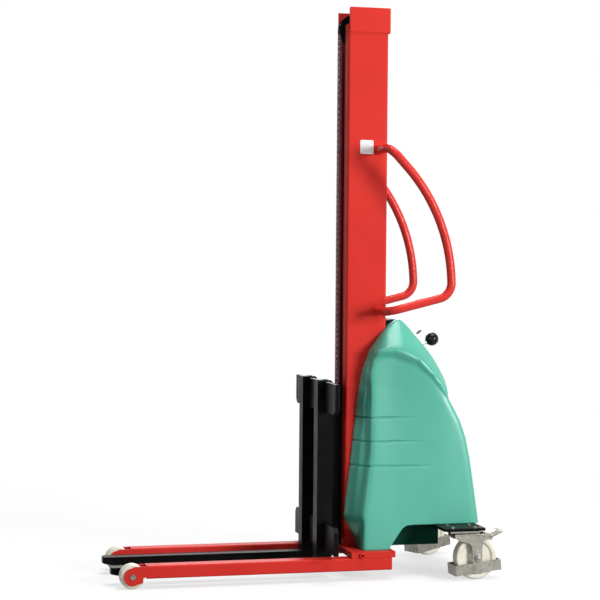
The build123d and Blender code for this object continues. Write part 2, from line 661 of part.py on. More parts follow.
def fork():
    """L-shaped fork: a tine, a front plate and two cheeks that pass round the bars."""
    y0, y1 = FORK_SPACING / 2 - FORK_WIDTH / 2, FORK_SPACING / 2 + FORK_WIDTH / 2
    plate_rear = UPRIGHT_FRONT + UPRIGHT_FRONT_THICKNESS
    tine = block(FORK_TIP, plate_rear, y0, y1, FORK_BOTTOM, FORK_TOP)
    tip_edges = tine.edges().filter_by(Axis.Z).sort_by(Axis.X)[:2]
    tine = fillet(tip_edges, FORK_TIP_ROUND)
    bevel = [
        (FORK_TIP - OVERCUT, FORK_BOTTOM - OVERCUT),
        (FORK_TIP - OVERCUT, FORK_BOTTOM + FORK_TIP_BEVEL),
        (FORK_TIP + FORK_TIP_BEVEL_LENGTH, FORK_BOTTOM - OVERCUT),
    ]
    tine -= plate_xz(bevel, y0 - OVERCUT, y1 + OVERCUT)
    upright = block(UPRIGHT_FRONT, UPRIGHT_REAR, y0, y1, FORK_BOTTOM, UPRIGHT_TOP)
    rear_top = upright.edges().filter_by(Axis.Y).sort_by(Axis.Z)[-2:].sort_by(Axis.X)[-1]
    upright = fillet(rear_top, UPRIGHT_TOP_ROUND)
    inner0, inner1 = y0 + UPRIGHT_CHEEK, y1 - UPRIGHT_CHEEK
    upright -= block(plate_rear, UPRIGHT_REAR + OVERCUT, inner0, inner1, FORK_TOP, UPRIGHT_TOP + OVERCUT)
    upper = (UPPER_BAR_TOP - UPPER_BAR_HEIGHT, UPPER_BAR_TOP)
    lower = (LOWER_BAR_BOTTOM, LOWER_BAR_BOTTOM + LOWER_BAR_HEIGHT)
    for z0, z1 in (upper, lower):
        upright -= block(BAR_FRONT - SEAT_GAP, BAR_REAR + SEAT_GAP, y0 - OVERCUT, y1 + OVERCUT,
                         z0 - SEAT_GAP, z1 + SEAT_GAP)
    return tine + upright


def fork_screws():
    """Two socket screws in the outer side of a fork upright."""
    y = FORK_SPACING / 2 + FORK_WIDTH / 2
    x = UPRIGHT_FRONT + UPRIGHT_FRONT_THICKNESS / 2
    screws = []
    for z in (UPPER_BAR_TOP - FORK_SCREW_DROP, LOWER_BAR_BOTTOM + LOWER_BAR_HEIGHT - FORK_SCREW_DROP):
        head = bar_y(x, z, FORK_SCREW_DIAMETER, y, y + FORK_SCREW_HEIGHT)
        recess = y + FORK_SCREW_HEIGHT / 2
        screws.append(head - bar_y(x, z, FORK_SCREW_SOCKET, recess, recess + FORK_SCREW_HEIGHT))
    return screws


def rear_frame():
    """Castor plate on a box beam behind the mast."""
    plate = block(REAR_PLATE_FRONT, REAR_PLATE_REAR, -REAR_PLATE_HALF, REAR_PLATE_HALF,
                  REAR_PLATE_BOTTOM, REAR_PLATE_TOP)
    half, low = BEAM_WIDTH / 2, REAR_PLATE_BOTTOM - BEAM_HEIGHT
    beam = block(MAST_DEPTH, TRAY_REAR, -half, half, low, REAR_PLATE_BOTTOM)
    beam -= block(MAST_DEPTH - OVERCUT, TRAY_REAR + OVERCUT, BEAM_WALL - half, half - BEAM_WALL,
                  low + BEAM_WALL, REAR_PLATE_BOTTOM - BEAM_WALL)
    frame = plate + beam
    for side in (NEAR, FAR):
        for x, y in castor_bolt_places(side):
            frame -= bar_z(x, y, CASTOR_BOLT, REAR_PLATE_BOTTOM - OVERCUT, REAR_PLATE_TOP + OVERCUT)
    return frame


def undertray():
    """Open pan between the castors, hung round the beam."""
    front = MAST_DEPTH + TRAY_FRONT_GAP
    low, high = BASE_TOP + TRAY_BOTTOM_GAP, REAR_PLATE_BOTTOM - TRAY_TOP_GAP
    pan = block(front, TRAY_REAR, -TRAY_HALF, TRAY_HALF, low, high)
    inner = TRAY_HALF - TRAY_WALL
    pan -= block(front + TRAY_WALL, TRAY_REAR - TRAY_WALL, -inner, inner, low + TRAY_WALL, high + OVERCUT)
    half = BEAM_WIDTH / 2 + SEAT_GAP
    beam_low = REAR_PLATE_BOTTOM - BEAM_HEIGHT - SEAT_GAP
    return pan - block(front - OVERCUT, TRAY_REAR + OVERCUT, -half, half, beam_low, high + OVERCUT)


def castor_bolt_places(side):
    """Centres of one castor plate's four bolts."""
    return [
        (CASTOR_X + i * CASTOR_BOLT_LENGTH_PITCH / 2, side * CASTOR_Y + j * CASTOR_BOLT_WIDTH_PITCH / 2)
        for i in (-1, 1)
        for j in (-1, 1)
    ]


def castor_plate(side):
    """Fixed top plate of a castor with its king pin."""
    x, y = CASTOR_X, side * CASTOR_Y
    half_x, half_y = CASTOR_PLATE_LENGTH / 2, CASTOR_PLATE_WIDTH / 2
    plate = block(x - half_x, x + half_x, y - half_y, y + half_y, CASTOR_PLATE_BOTTOM, REAR_PLATE_BOTTOM)
    plate += bar_z(x, y, CASTOR_KING_PIN, CROWN_BOTTOM, CASTOR_PLATE_BOTTOM)
    low, high = CASTOR_PLATE_BOTTOM - OVERCUT, REAR_PLATE_BOTTOM + OVERCUT
    for bolt_x, bolt_y in castor_bolt_places(side):
        plate -= bar_z(bolt_x, bolt_y, CASTOR_BOLT, low, high)
    return plate


def castor_bolts(side):
    """Four bolts through the rear plate and a castor's top plate."""
    bolts = []
    for x, y in castor_bolt_places(side):
        bolt = bar_z(x, y, CASTOR_BOLT, CASTOR_PLATE_BOTTOM - CASTOR_BOLT_END, REAR_PLATE_TOP)
        head_top = REAR_PLATE_TOP + CASTOR_BOLT_HEAD_HEIGHT
        bolts.append(bolt + bar_z(x, y, CASTOR_BOLT_HEAD, REAR_PLATE_TOP, head_top))
    return bolts


def at_castor(side, solid):
    """A piece drawn about the swivel axis, turned and put at one castor."""
    turn = FAR_CASTOR_TURN if side == FAR else NEAR_CASTOR_TURN
    return Pos(CASTOR_X, side * CASTOR_Y, 0) * Rot(0, 0, turn) * solid


def castor_fork():
    """Swivel head, crown and two legs of a castor."""
    head_top = CASTOR_PLATE_BOTTOM - RUN_GAP
    crown_top = CROWN_BOTTOM + CROWN_THICKNESS
    front = -RACE_DIAMETER / 2 - CROWN_MARGIN
    crown = block(front, CASTOR_TRAIL, -LEG_OUTER_FACE, LEG_OUTER_FACE, CROWN_BOTTOM, crown_top)
    head = bar_z(0, 0, RACE_DIAMETER, crown_top, head_top)
    half = CASTOR_LEG_WIDTH / 2
    ear_low, ear_high = PEDAL_PIVOT_Z - PEDAL_PIN, PEDAL_PIVOT_Z + PEDAL_PIN
    outline = [
        (front, crown_top),
        (PEDAL_PIVOT_X - PEDAL_PIN, crown_top),
        (PEDAL_PIVOT_X + PEDAL_PIN, ear_high),
        (PEDAL_PIVOT_X + PEDAL_PIN, ear_low),
        (CASTOR_TRAIL + half + PEDAL_PIN, ear_low - PEDAL_PIN),
        (CASTOR_TRAIL + half, CASTOR_LEG_FOOT),
        (CASTOR_TRAIL - half, CASTOR_LEG_FOOT),
        (CASTOR_TRAIL - half, CASTOR_WEB_BOTTOM),
        (front, CROWN_BOTTOM),
    ]
    body = crown + head
    for side in (NEAR, FAR):
        body += place(side, plate_xz(outline, LEG_INNER_FACE, LEG_OUTER_FACE))
    body -= bar_z(0, 0, CASTOR_KING_PIN + 2 * FIT_GAP, CROWN_BOTTOM - OVERCUT, head_top + OVERCUT)
    body -= bar_y(CASTOR_TRAIL, WHEEL_RADIUS, CASTOR_AXLE, -CASTOR_WHEEL, CASTOR_WHEEL)
    return body - bar_y(PEDAL_PIVOT_X, PEDAL_PIVOT_Z, PEDAL_PIN, -CASTOR_WHEEL, CASTOR_WHEEL)


def castor_pins():
    """Axle bolt with a nut on each end, and the pedal's pin."""
    end = LEG_OUTER_FACE + CASTOR_NUT_HEIGHT
    axle = bar_y(CASTOR_TRAIL, WHEEL_RADIUS, CASTOR_AXLE, -end, end)
    for side in (NEAR, FAR):
        nut = Pos(CASTOR_TRAIL, 0, WHEEL_RADIUS) * Rot(90, 0, 0) * RegularPolygon(CASTOR_NUT / 2, 6)
        nut = Pos(0, LEG_OUTER_FACE, 0) * extrude(nut, amount=CASTOR_NUT_HEIGHT, dir=(0, 1, 0))
        axle += place(side, nut)
    pin_end = LEG_OUTER_FACE + PEDAL_PIN_END
    return [axle, bar_y(PEDAL_PIVOT_X, PEDAL_PIVOT_Z, PEDAL_PIN, -pin_end, pin_end)]


def castor_wheel():
    """Wheel with a hub that stands out on both sides and a dished web."""
    half = CASTOR_TREAD / 2
    wheel = bar_y(CASTOR_TRAIL, WHEEL_RADIUS, CASTOR_WHEEL, -half, half)
    wheel = fillet(wheel.edges().filter_by(GeomType.CIRCLE), half / 4)
    dish = bar_y(CASTOR_TRAIL, WHEEL_RADIUS, CASTOR_DISH_DIAMETER, half - CASTOR_DISH_DEPTH, half + OVERCUT)
    dish -= bar_y(CASTOR_TRAIL, WHEEL_RADIUS, CASTOR_HUB_DIAMETER, 0, CASTOR_HUB_LENGTH)
    for side in (NEAR, FAR):
        wheel -= place(side, dish)
    hub = CASTOR_HUB_LENGTH / 2
    wheel += bar_y(CASTOR_TRAIL, WHEEL_RADIUS, CASTOR_HUB_DIAMETER, -hub, hub)
    return wheel - bar_y(CASTOR_TRAIL, WHEEL_RADIUS, CASTOR_AXLE + 2 * FIT_GAP, -CASTOR_WHEEL, CASTOR_WHEEL)


def castor_guard():
    """Rectangular foot guard of flat bar round the wheel, raised a little at the rear."""
    reach = WHEEL_RADIUS + GUARD_FRONT_GAP
    inner, outer = LEG_OUTER_FACE, LEG_OUTER_FACE + GUARD_WALL
    ring = Box(2 * reach, 2 * outer, GUARD_HEIGHT)
    ring = fillet(ring.edges().filter_by(Axis.Z), GUARD_WALL)
    ring -= Box(2 * (reach - GUARD_WALL), 2 * inner, GUARD_HEIGHT + 2 * OVERCUT)
    return Pos(CASTOR_TRAIL, 0, GUARD_MIDDLE) * Rot(0, -GUARD_TILT, 0) * ring


def brake_pedal():
    """Foot pedal on a cross tube, with a brake shoe towards the wheel."""
    tube = PEDAL_PIN + 2 * PEDAL_SHEET
    side = LEG_INNER_FACE - RUN_GAP
    half = PEDAL_WIDTH / 2
    knee = PEDAL_PIVOT_X + tube / 2
    outline = [
        (PEDAL_PIVOT_X, PEDAL_PIVOT_Z + tube / 2 - PEDAL_SHEET),
        (knee + tube, PEDAL_PIVOT_Z + tube / 2 - PEDAL_SHEET),
        (PEDAL_REACH, PEDAL_TIP_Z - PEDAL_SHEET),
        (PEDAL_REACH, PEDAL_TIP_Z),
        (knee + tube - PEDAL_SHEET / 2, PEDAL_PIVOT_Z + tube / 2),
        (PEDAL_PIVOT_X, PEDAL_PIVOT_Z + tube / 2),
    ]
    pedal = bar_y(PEDAL_PIVOT_X, PEDAL_PIVOT_Z, tube, -side, side) + plate_xz(outline, -half, half)
    away = Vector(PEDAL_PIVOT_X - CASTOR_TRAIL, 0, PEDAL_PIVOT_Z - WHEEL_RADIUS)
    depth = away.length - WHEEL_RADIUS - SHOE_GAP
    seat = Plane(origin=(PEDAL_PIVOT_X, 0, PEDAL_PIVOT_Z), z_dir=away * -1, x_dir=(0, 1, 0))
    pedal += seat * Pos(0, 0, depth / 2) * Box(CASTOR_TREAD, SHOE_LENGTH, depth)
    return pedal - bar_y(PEDAL_PIVOT_X, PEDAL_PIVOT_Z, PEDAL_PIN + 2 * FIT_GAP, -CASTOR_WHEEL, CASTOR_WHEEL)


def hood_outline(inset):
    """Side view of the lower hood, drawn down to its foot and moved in by a skin."""
    curve = [(HOOD_SILL_REAR, HOOD_ARCH), *HOOD_REAR, (HOOD_SHOULDER_REAR, HOOD_SHOULDER)]
    moved = []
    for i, (x, z) in enumerate(curve[:-1]):
        x0, z0 = curve[max(i - 1, 0)]
        x1, z1 = curve[i + 1]
        span = math.hypot(x1 - x0, z1 - z0)
        moved.append((x - inset * (z1 - z0) / span, 0, z + inset * (x1 - x0) / span))
    moved.append((HOOD_SHOULDER_REAR, 0, HOOD_SHOULDER - inset))
    front = [(x + inset, 0, min(z, HOOD_SHOULDER - inset)) for x, z, back in HOOD_FRONT]
    low = HOOD_FRONT[-1][1]
    edge = Spline(*moved) + Polyline(moved[-1], *front, (moved[0][0], 0, low), moved[0])
    return make_face(edge)


def hood_front_cut(inset):
    """What lies ahead of the hood's swept front face, on the far side, with flat faces only."""
    reach = 2 * HOOD_HALF
    rings = []
    for y in (HOOD_NOTCH - HOOD_SKIN, HOOD_HALF + HOOD_SKIN):
        share = (y - HOOD_NOTCH) / (HOOD_HALF - HOOD_NOTCH)
        edge = [(x + inset + back * share, y, z) for x, z, back in HOOD_FRONT]
        edge[0] = (edge[0][0], y, 2 * HOOD_SHOULDER)
        edge[-1] = (edge[-1][0], y, 0)
        rings.append([*edge, (-reach, y, 0), (-reach, y, 2 * HOOD_SHOULDER)])
    faces = [make_face(Polyline(*ring, close=True)) for ring in rings]
    inner, outer = rings
    for i in range(len(inner)):
        corners = [inner[i - 1], inner[i], outer[i], outer[i - 1]]
        for skip in (1, 3):
            triangle = [corner for j, corner in enumerate(corners) if j != skip]
            faces.append(make_face(Polyline(*triangle, close=True)))
    return Solid(Shell([face.faces()[0] for face in faces]))


def hood_body(inset):
    """Lower hood as a solid block with rounded shoulders."""
    half = HOOD_HALF - inset
    body = extrude(hood_outline(inset), amount=half, both=True, dir=(0, 1, 0))
    edges = [
        edge for edge in body.edges()
        if abs(abs(edge.center().Y) - half) < FIT_GAP
        and (edge.geom_type != GeomType.LINE or edge.center().Z > HOOD_SHOULDER - 2 * HOOD_SKIN)
    ]
    body = fillet(edges, HOOD_ROUND - inset)
    cut = hood_front_cut(inset)
    return body - cut - flip(cut)


def dome_outline(inset):
    """Side view of the dome; the inner one reaches past the rim and leaves the front open."""
    foot = (HOOD_FRONT[0][0] + inset, HOOD_SHOULDER)
    face = []
    for x, z in (DOME_FACE_TOP, DOME_FACE_MID, DOME_FACE_LOW):
        share = 1 - inset / FACE_RADIUS
        run, rise = (x - FACE_CENTRE.X) * share, (z - FACE_CENTRE.Z) * share
        face.append((FACE_CENTRE.X + run, 0, FACE_CENTRE.Z + rise))
    low = DOME_HEEL[1] + inset
    edge = ThreePointArc(*face)
    edge += Polyline(face[-1], (DOME_HEEL[0] - inset, 0, low), (foot[0], 0, low), (foot[0], 0, foot[1]))
    if inset:
        run = Vector(DOME_APEX[0] - DOME_FACE_TOP[0], 0, DOME_APEX[1] - DOME_FACE_TOP[1])
        past = Vector(*face[0]) + run * 2
        edge += Polyline((foot[0], 0, foot[1]), (foot[0] - 4 * inset, 0, foot[1]),
                         (DOME_RIM[0] - 8 * inset, 0, past.Z), (past.X, 0, past.Z), face[0])
    else:
        apex = (DOME_APEX[0], 0, DOME_APEX[1])
        edge += Spline((foot[0], 0, foot[1]), (DOME_RIM[0], 0, DOME_RIM[1]), apex) + Line(apex, face[0])
    return make_face(edge)


def dome_body(inset):
    """Narrow raised part of the hood as a solid block with leaning sides."""
    slope = (DOME_HALF - DOME_TOP_HALF) / (DOME_APEX[1] - DOME_FOOT_Z)
    half = DOME_HALF - inset * math.hypot(1, slope)
    body = extrude(dome_outline(inset), amount=half, both=True, dir=(0, 1, 0))
    top = 2 * HOOD_SHOULDER
    lean = [(half, DOME_FOOT_Z), (half - slope * (top - DOME_FOOT_Z), top), (top, top), (top, DOME_FOOT_Z)]
    wedge = make_face(Polyline(*[(0, y, z) for y, z in lean], close=True))
    side = extrude(wedge, amount=top, dir=(1, 0, 0))
    body = body - side - flip(side)
    ridge = [
        edge for edge in body.edges()
        if edge.center().X > DOME_APEX[0] and abs(edge.center().Y) > DOME_TOP_HALF / 2
        and edge.center().Z > DOME_HEEL[1] + 2 * HOOD_SKIN and edge.length > RIDGE_LEAST
    ]
    return fillet(ridge, DOME_ROUND - inset)


def hood():
    """Moulded hood: lower body and dome, hollow, open below and at the dome's front."""
    outer = hood_body(0) + dome_body(0)
    shell = outer - hood_body(HOOD_SKIN) - dome_body(HOOD_SKIN)
    layer = outer - hood_body(GROOVE_DEPTH)
    far = 2 * HOOD_SILL_REAR
    for z, end in GROOVES:
        strip = block(-far, end, HOOD_NOTCH + HOOD_SKIN, far, z - GROOVE_WIDTH / 2, z + GROOVE_WIDTH / 2)
        shell -= layer & (strip + flip(strip))
    shell -= block(-far, MAST_DEPTH + HOOD_MAST_GAP, -HOOD_NOTCH, HOOD_NOTCH, 0, far)
    shell -= block(-far, far, -far, far, 0, HOOD_BOTTOM)
    inside = HOOD_HALF - HOOD_SKIN
    shell -= block(HOOD_FRONT[-1][0] + HOOD_SKIN, far, -inside, inside, 0, HOOD_BOTTOM + 2 * HOOD_SKIN)
    arch = FilletPolyline((HOOD_ARCH_START, -far, HOOD_BOTTOM), (HOOD_ARCH_CORNER, -far, HOOD_ARCH),
                          (far, -far, HOOD_ARCH), radius=HOOD_ARCH_ROUND)
    under = make_face(arch + Polyline((far, -far, HOOD_ARCH), (far, -far, 0), (HOOD_ARCH_START, -far, 0),
                                      (HOOD_ARCH_START, -far, HOOD_BOTTOM)))
    shell -= extrude(under, amount=2 * far, dir=(0, 1, 0))
    shell -= on_face(LEVER_AT_FACE) * Box(LEVER_SLOT_WIDTH, LEVER_SLOT_LENGTH, 8 * HOOD_SKIN)
    return shell - on_face(SWITCH_AT_FACE) * Cylinder(SWITCH_DIAMETER / 2, 8 * HOOD_SKIN)


def on_face(point):
    """Plane on the dome's rear face at a point, looking into the hood."""
    inward = Vector(FACE_CENTRE.X - point.X, 0, FACE_CENTRE.Z - point.Z)
    return Plane(origin=point, x_dir=(0, 1, 0), z_dir=inward)


def battery():
    """Battery box standing on the rear plate, with two posts on its lid."""
    rear = BATTERY_FRONT + BATTERY_LENGTH
    top = REAR_PLATE_TOP + BATTERY_HEIGHT
    box = block(BATTERY_FRONT, rear, -BATTERY_HALF, BATTERY_HALF, REAR_PLATE_TOP, top)
    box = fillet(box.edges().filter_by(Axis.Z), BATTERY_ROUND)
    for side in (NEAR, FAR):
        y = side * (BATTERY_HALF - TERMINAL_INSET)
        box += bar_z(BATTERY_FRONT + TERMINAL_INSET, y, TERMINAL_DIAMETER, top, top + TERMINAL_HEIGHT)
    return box


def unit_bracket():
    """Angle plate on the mast's rear that carries the power unit."""
    low = SHELF_Z - SHELF_THICKNESS
    back = block(MAST_DEPTH, MAST_DEPTH + SHELF_THICKNESS, -SHELF_BACK_HALF, SHELF_BACK_HALF,
                 low, low + SHELF_BACK_HEIGHT)
    return back + block(MAST_DEPTH, MAST_DEPTH + SHELF_LENGTH, -SHELF_HALF, SHELF_HALF, low, SHELF_Z)


def oil_tank():
    """Rounded oil tank with a filler cap."""
    x0 = MAST_DEPTH + 2 * SHELF_THICKNESS
    y0 = SHELF_HALF - TANK_WIDTH - SHELF_THICKNESS
    tank = block(x0, x0 + TANK_LENGTH, y0, y0 + TANK_WIDTH, SHELF_Z, SHELF_Z + TANK_HEIGHT)
    tank = fillet(tank.edges().filter_by(Axis.Z), TANK_ROUND)
    top = SHELF_Z + TANK_HEIGHT
    return tank + bar_z(x0 + TANK_LENGTH / 2, y0 + TANK_WIDTH / 2, 2 * TANK_ROUND, top, top + TANK_ROUND)


def pump_block():
    """Pump and valve block under the motor."""
    x, half = MAST_DEPTH + MOTOR_X_OFFSET, PUMP_BLOCK / 2
    return block(x - half, x + half, MOTOR_Y - half, MOTOR_Y + half, SHELF_Z, SHELF_Z + PUMP_BLOCK)


def pump_motor():
    """Upright pump motor with a stepped end bell."""
    x, low = MAST_DEPTH + MOTOR_X_OFFSET, SHELF_Z + PUMP_BLOCK
    bell = low + MOTOR_LENGTH - MOTOR_BELL_LENGTH
    body = bar_z(x, MOTOR_Y, MOTOR_DIAMETER, low, bell)
    return body + bar_z(x, MOTOR_Y, MOTOR_BELL_DIAMETER, bell, low + MOTOR_LENGTH)


def lever_bracket():
    """Bracket inside the dome with two ears and the lever's pin."""
    seat = on_face(LEVER_AT_FACE)
    near_side = LEVER_HUB / 2 + RUN_GAP
    far_side = near_side + BRACKET_SHEET
    sheet = BRACKET_DEPTH + BRACKET_SHEET
    low = LEVER_PIVOT_DEPTH + LEVER_HUB / 2
    body = Pos(0, 0, BRACKET_DEPTH + BRACKET_SHEET / 2) * Box(BRACKET_WIDTH, BRACKET_LENGTH, BRACKET_SHEET)
    body = seat * body
    body -= seat * Box(LEVER_SLOT_WIDTH, LEVER_SLOT_LENGTH, 2 * low)
    for side in (NEAR, FAR):
        ear = Box(BRACKET_SHEET, 2 * LEVER_HUB, low - sheet)
        body += seat * Pos(side * (near_side + far_side) / 2, 0, (sheet + low) / 2) * ear
    return body + bar_y(LEVER_PIVOT.X, LEVER_PIVOT.Z, LEVER_PIN_DIAMETER, -far_side, far_side)


def control_lever():
    """Lever rod on a short hub."""
    along = Plane(origin=LEVER_PIVOT, x_dir=(0, 1, 0), z_dir=LEVER_DIR)
    length = LEVER_FACE_DISTANCE + LEVER_PIVOT_DEPTH - KNOB_DIAMETER / 2 + KNOB_SOCKET
    lever = along * Pos(0, 0, length / 2) * Cylinder(LEVER_DIAMETER / 2, length)
    lever += bar_y(LEVER_PIVOT.X, LEVER_PIVOT.Z, LEVER_HUB, -LEVER_HUB / 2, LEVER_HUB / 2)
    bore = LEVER_PIN_DIAMETER + 2 * FIT_GAP
    return lever - bar_y(LEVER_PIVOT.X, LEVER_PIVOT.Z, bore, -LEVER_HUB, LEVER_HUB)


def lever_knob():
    """Ball knob with a blind hole for the lever rod."""
    along = Plane(origin=KNOB_CENTRE, x_dir=(0, 1, 0), z_dir=LEVER_DIR * -1)
    ball = along * Sphere(KNOB_DIAMETER / 2)
    start = KNOB_DIAMETER / 2 - KNOB_SOCKET
    return ball - along * Pos(0, 0, start + KNOB_DIAMETER / 2) * Cylinder(LEVER_DIAMETER / 2, KNOB_DIAMETER)


def key_switch():
    """Switch barrel through the dome's rear face, with a collar outside."""
    seat = on_face(SWITCH_AT_FACE)
    body = seat * Pos(0, 0, SWITCH_DEPTH / 2) * Cylinder(SWITCH_DIAMETER / 2, SWITCH_DEPTH)
    body += seat * Pos(0, 0, -SWITCH_COLLAR_HEIGHT / 2) * Cylinder(SWITCH_COLLAR / 2, SWITCH_COLLAR_HEIGHT)
    bore = Cylinder(KEY_PLUG / 2 + 2 * FIT_GAP, SWITCH_COLLAR_HEIGHT)
    return body - seat * Pos(0, 0, -SWITCH_COLLAR_HEIGHT / 2) * bore


def key():
    """Key with a round plug in the collar, a blade and a flat bow."""
    seat = on_face(SWITCH_AT_FACE)
    plug = SWITCH_COLLAR_HEIGHT - RUN_GAP
    blade = KEY_LENGTH - KEY_BOW / 2
    body = Pos(0, 0, -RUN_GAP - plug / 2) * Cylinder(KEY_PLUG / 2, plug)
    body += Pos(0, 0, -plug - blade / 2) * Box(KEY_SHEET, KEY_BLADE, blade)
    bow = Rot(0, 90, 0) * Cylinder(KEY_BOW / 2, KEY_SHEET)
    body += Pos(0, 0, -SWITCH_COLLAR_HEIGHT - KEY_LENGTH + KEY_BOW / 2) * bow
    return seat * body


def build_all():
    """Every node by name, as a list of solids."""
    nodes = {}
    for side, name in ((NEAR, "near"), (FAR, "far")):
        nodes[name + "_leg"] = [place(side, leg())]
        nodes[name + "_roller"] = [place(side, roller())]
        nodes[name + "_handle"] = [place(side, handle())]
        nodes[name + "_fork"] = [place(side, fork())]
        nodes[name + "_fork_screws"] = [place(side, screw) for screw in fork_screws()]
        nodes[name + "_castor_fork"] = [at_castor(side, castor_fork())]
        nodes[name + "_castor_pins"] = [at_castor(side, pin) for pin in castor_pins()]
        nodes[name + "_castor_wheel"] = [at_castor(side, castor_wheel())]
        nodes[name + "_castor_guard"] = [at_castor(side, castor_guard())]
        nodes[name + "_brake_pedal"] = [at_castor(side, brake_pedal())]
    nodes["roller_axles"] = [place(side, roller_axle()) for side in (NEAR, FAR)]
    nodes["base_plate"] = [base_plate()]
    nodes["base_bolts"] = [base_bolt(side) for side in (NEAR, FAR)]
    nodes["mast_column"] = [mast_column()]
    nodes["guide_rails"] = [place(side, guide_rail()) for side in (NEAR, FAR)]
    nodes["head_cap"] = [head_cap()]
    nodes["label_plate"] = [label_plate()]
    nodes["sheave_pin"] = [bar_y(SHEAVE_X, SHEAVE_Z, SHEAVE_PIN_DIAMETER, -MAST_HALF, MAST_HALF)]
    nodes["top_sheave"] = [
        wheel_with_groove(SHEAVE_X, SHEAVE_Z, SHEAVE_RADIUS, SHEAVE_RIM, SHEAVE_FLANGE, SHEAVE_PIN_DIAMETER)
    ]
    nodes["chain_wrap"] = [chain_ring(SHEAVE_X, SHEAVE_Z, SHEAVE_RADIUS, True)]
    nodes["lift_chain"] = [chain_strand(CHAIN_FRONT, CLEVIS_BLOCK_Z + CLEVIS_BLOCK_HEIGHT, SHEAVE_Z)]
    nodes["chain_tail"] = [
        chain_strand(CHAIN_REAR, PULLEY_Z, SHEAVE_Z),
        chain_strand(CYLINDER_X + PULLEY_RADIUS, PULLEY_Z, SHEAVE_Z - ANCHOR_DROP),
    ]
    nodes["chain_anchor"] = [chain_anchor()]
    nodes["chain_loop"] = [chain_ring(CYLINDER_X, PULLEY_Z, PULLEY_RADIUS, False)]
    nodes["rod_pulley"] = [
        wheel_with_groove(CYLINDER_X, PULLEY_Z, PULLEY_RADIUS, PULLEY_RIM, PULLEY_FLANGE, PULLEY_PIN_DIAMETER)
    ]
    nodes["rod_clevis"] = [rod_clevis()]
    nodes["piston_rod"] = [piston_rod()]
    nodes["lift_cylinder"] = [lift_cylinder()]
    nodes["upper_bar"] = [carriage_bar(UPPER_BAR_TOP - UPPER_BAR_HEIGHT, UPPER_BAR_TOP, True)]
    nodes["lower_bar"] = [carriage_bar(LOWER_BAR_BOTTOM, LOWER_BAR_BOTTOM + LOWER_BAR_HEIGHT, False)]
    nodes["carriage_plates"] = [place(side, carriage_side_plate()) for side in (NEAR, FAR)]
    levels = (LOWER_ROLLER_Z, UPPER_ROLLER_Z)
    nodes["guide_shafts"] = [place(side, guide_shaft(z)) for z in levels for side in (NEAR, FAR)]
    nodes["lower_guide_rollers"] = [place(side, guide_roller(LOWER_ROLLER_Z)) for side in (NEAR, FAR)]
    nodes["upper_guide_rollers"] = [place(side, guide_roller(UPPER_ROLLER_Z)) for side in (NEAR, FAR)]
    nodes["chain_clevis"] = [chain_clevis()]
    nodes["rear_frame"] = [rear_frame()]
    nodes["undertray"] = [undertray()]
    nodes["castor_plates"] = [castor_plate(side) for side in (NEAR, FAR)]
    nodes["castor_bolts"] = [bolt for side in (NEAR, FAR) for bolt in castor_bolts(side)]
    nodes["hood"] = [hood()]
    nodes["battery"] = [battery()]
    nodes["unit_bracket"] = [unit_bracket()]
    nodes["oil_tank"] = [oil_tank()]
    nodes["pump_block"] = [pump_block()]
    nodes["pump_motor"] = [pump_motor()]
    nodes["lever_bracket"] = [lever_bracket()]
    nodes["control_lever"] = [control_lever()]
    nodes["lever_knob"] = [lever_knob()]
    nodes["key_switch"] = [key_switch()]
    nodes["key"] = [key()]
    return nodes


def main():
    os.makedirs("parts", exist_ok=True)
    for name, solids in build_all().items():
        export_step(Compound(children=solids) if len(solids) > 1 else solids[0], f"parts/{name}.step")


main()
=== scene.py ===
"""Walk-behind stacker: a red mast with a black fork carriage, straddle legs, a green hood, push handles."""
import json
import math

import bmesh
import bpy
from mathutils import Matrix, Vector


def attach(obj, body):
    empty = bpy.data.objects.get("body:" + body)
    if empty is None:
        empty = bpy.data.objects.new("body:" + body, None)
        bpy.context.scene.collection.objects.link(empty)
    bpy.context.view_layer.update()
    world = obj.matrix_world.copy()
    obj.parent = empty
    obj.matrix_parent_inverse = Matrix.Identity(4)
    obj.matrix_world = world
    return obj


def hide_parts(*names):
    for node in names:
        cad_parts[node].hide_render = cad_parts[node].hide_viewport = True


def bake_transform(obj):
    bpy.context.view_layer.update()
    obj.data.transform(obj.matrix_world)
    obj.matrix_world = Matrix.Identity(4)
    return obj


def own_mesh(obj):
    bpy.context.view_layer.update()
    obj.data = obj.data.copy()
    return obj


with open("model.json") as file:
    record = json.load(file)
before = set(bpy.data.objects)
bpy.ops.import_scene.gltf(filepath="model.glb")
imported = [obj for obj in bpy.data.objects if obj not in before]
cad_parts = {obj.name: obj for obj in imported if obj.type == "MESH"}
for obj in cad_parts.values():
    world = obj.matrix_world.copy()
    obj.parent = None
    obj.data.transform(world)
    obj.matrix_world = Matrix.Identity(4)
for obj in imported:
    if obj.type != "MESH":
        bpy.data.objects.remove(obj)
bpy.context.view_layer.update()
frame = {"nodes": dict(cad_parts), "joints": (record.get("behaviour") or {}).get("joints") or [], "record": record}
nodes = frame["nodes"]
MM = 0.001


class Value:
    """A shader socket that does sums: each operator adds one Math node."""

    def __init__(self, tree, socket):
        self.tree = tree
        self.socket = socket

    def sum(self, operation, first, second):
        return self.tree.node("ShaderNodeMath", {"operation": operation}, {0: first, 1: second})

    def __add__(self, other):
        return self.sum("ADD", self, other)

    def __radd__(self, other):
        return self.sum("ADD", other, self)

    def __mul__(self, other):
        return self.sum("MULTIPLY", self, other)

    def __rmul__(self, other):
        return self.sum("MULTIPLY", other, self)

    def above(self, limit, soft):
        """0 below the limit, 1 above it, with a soft step between."""
        return self.tree.node(
            "ShaderNodeMapRange",
            {"interpolation_type": "SMOOTHSTEP"},
            {"Value": self, "From Min": limit - soft, "From Max": limit + soft},
        )


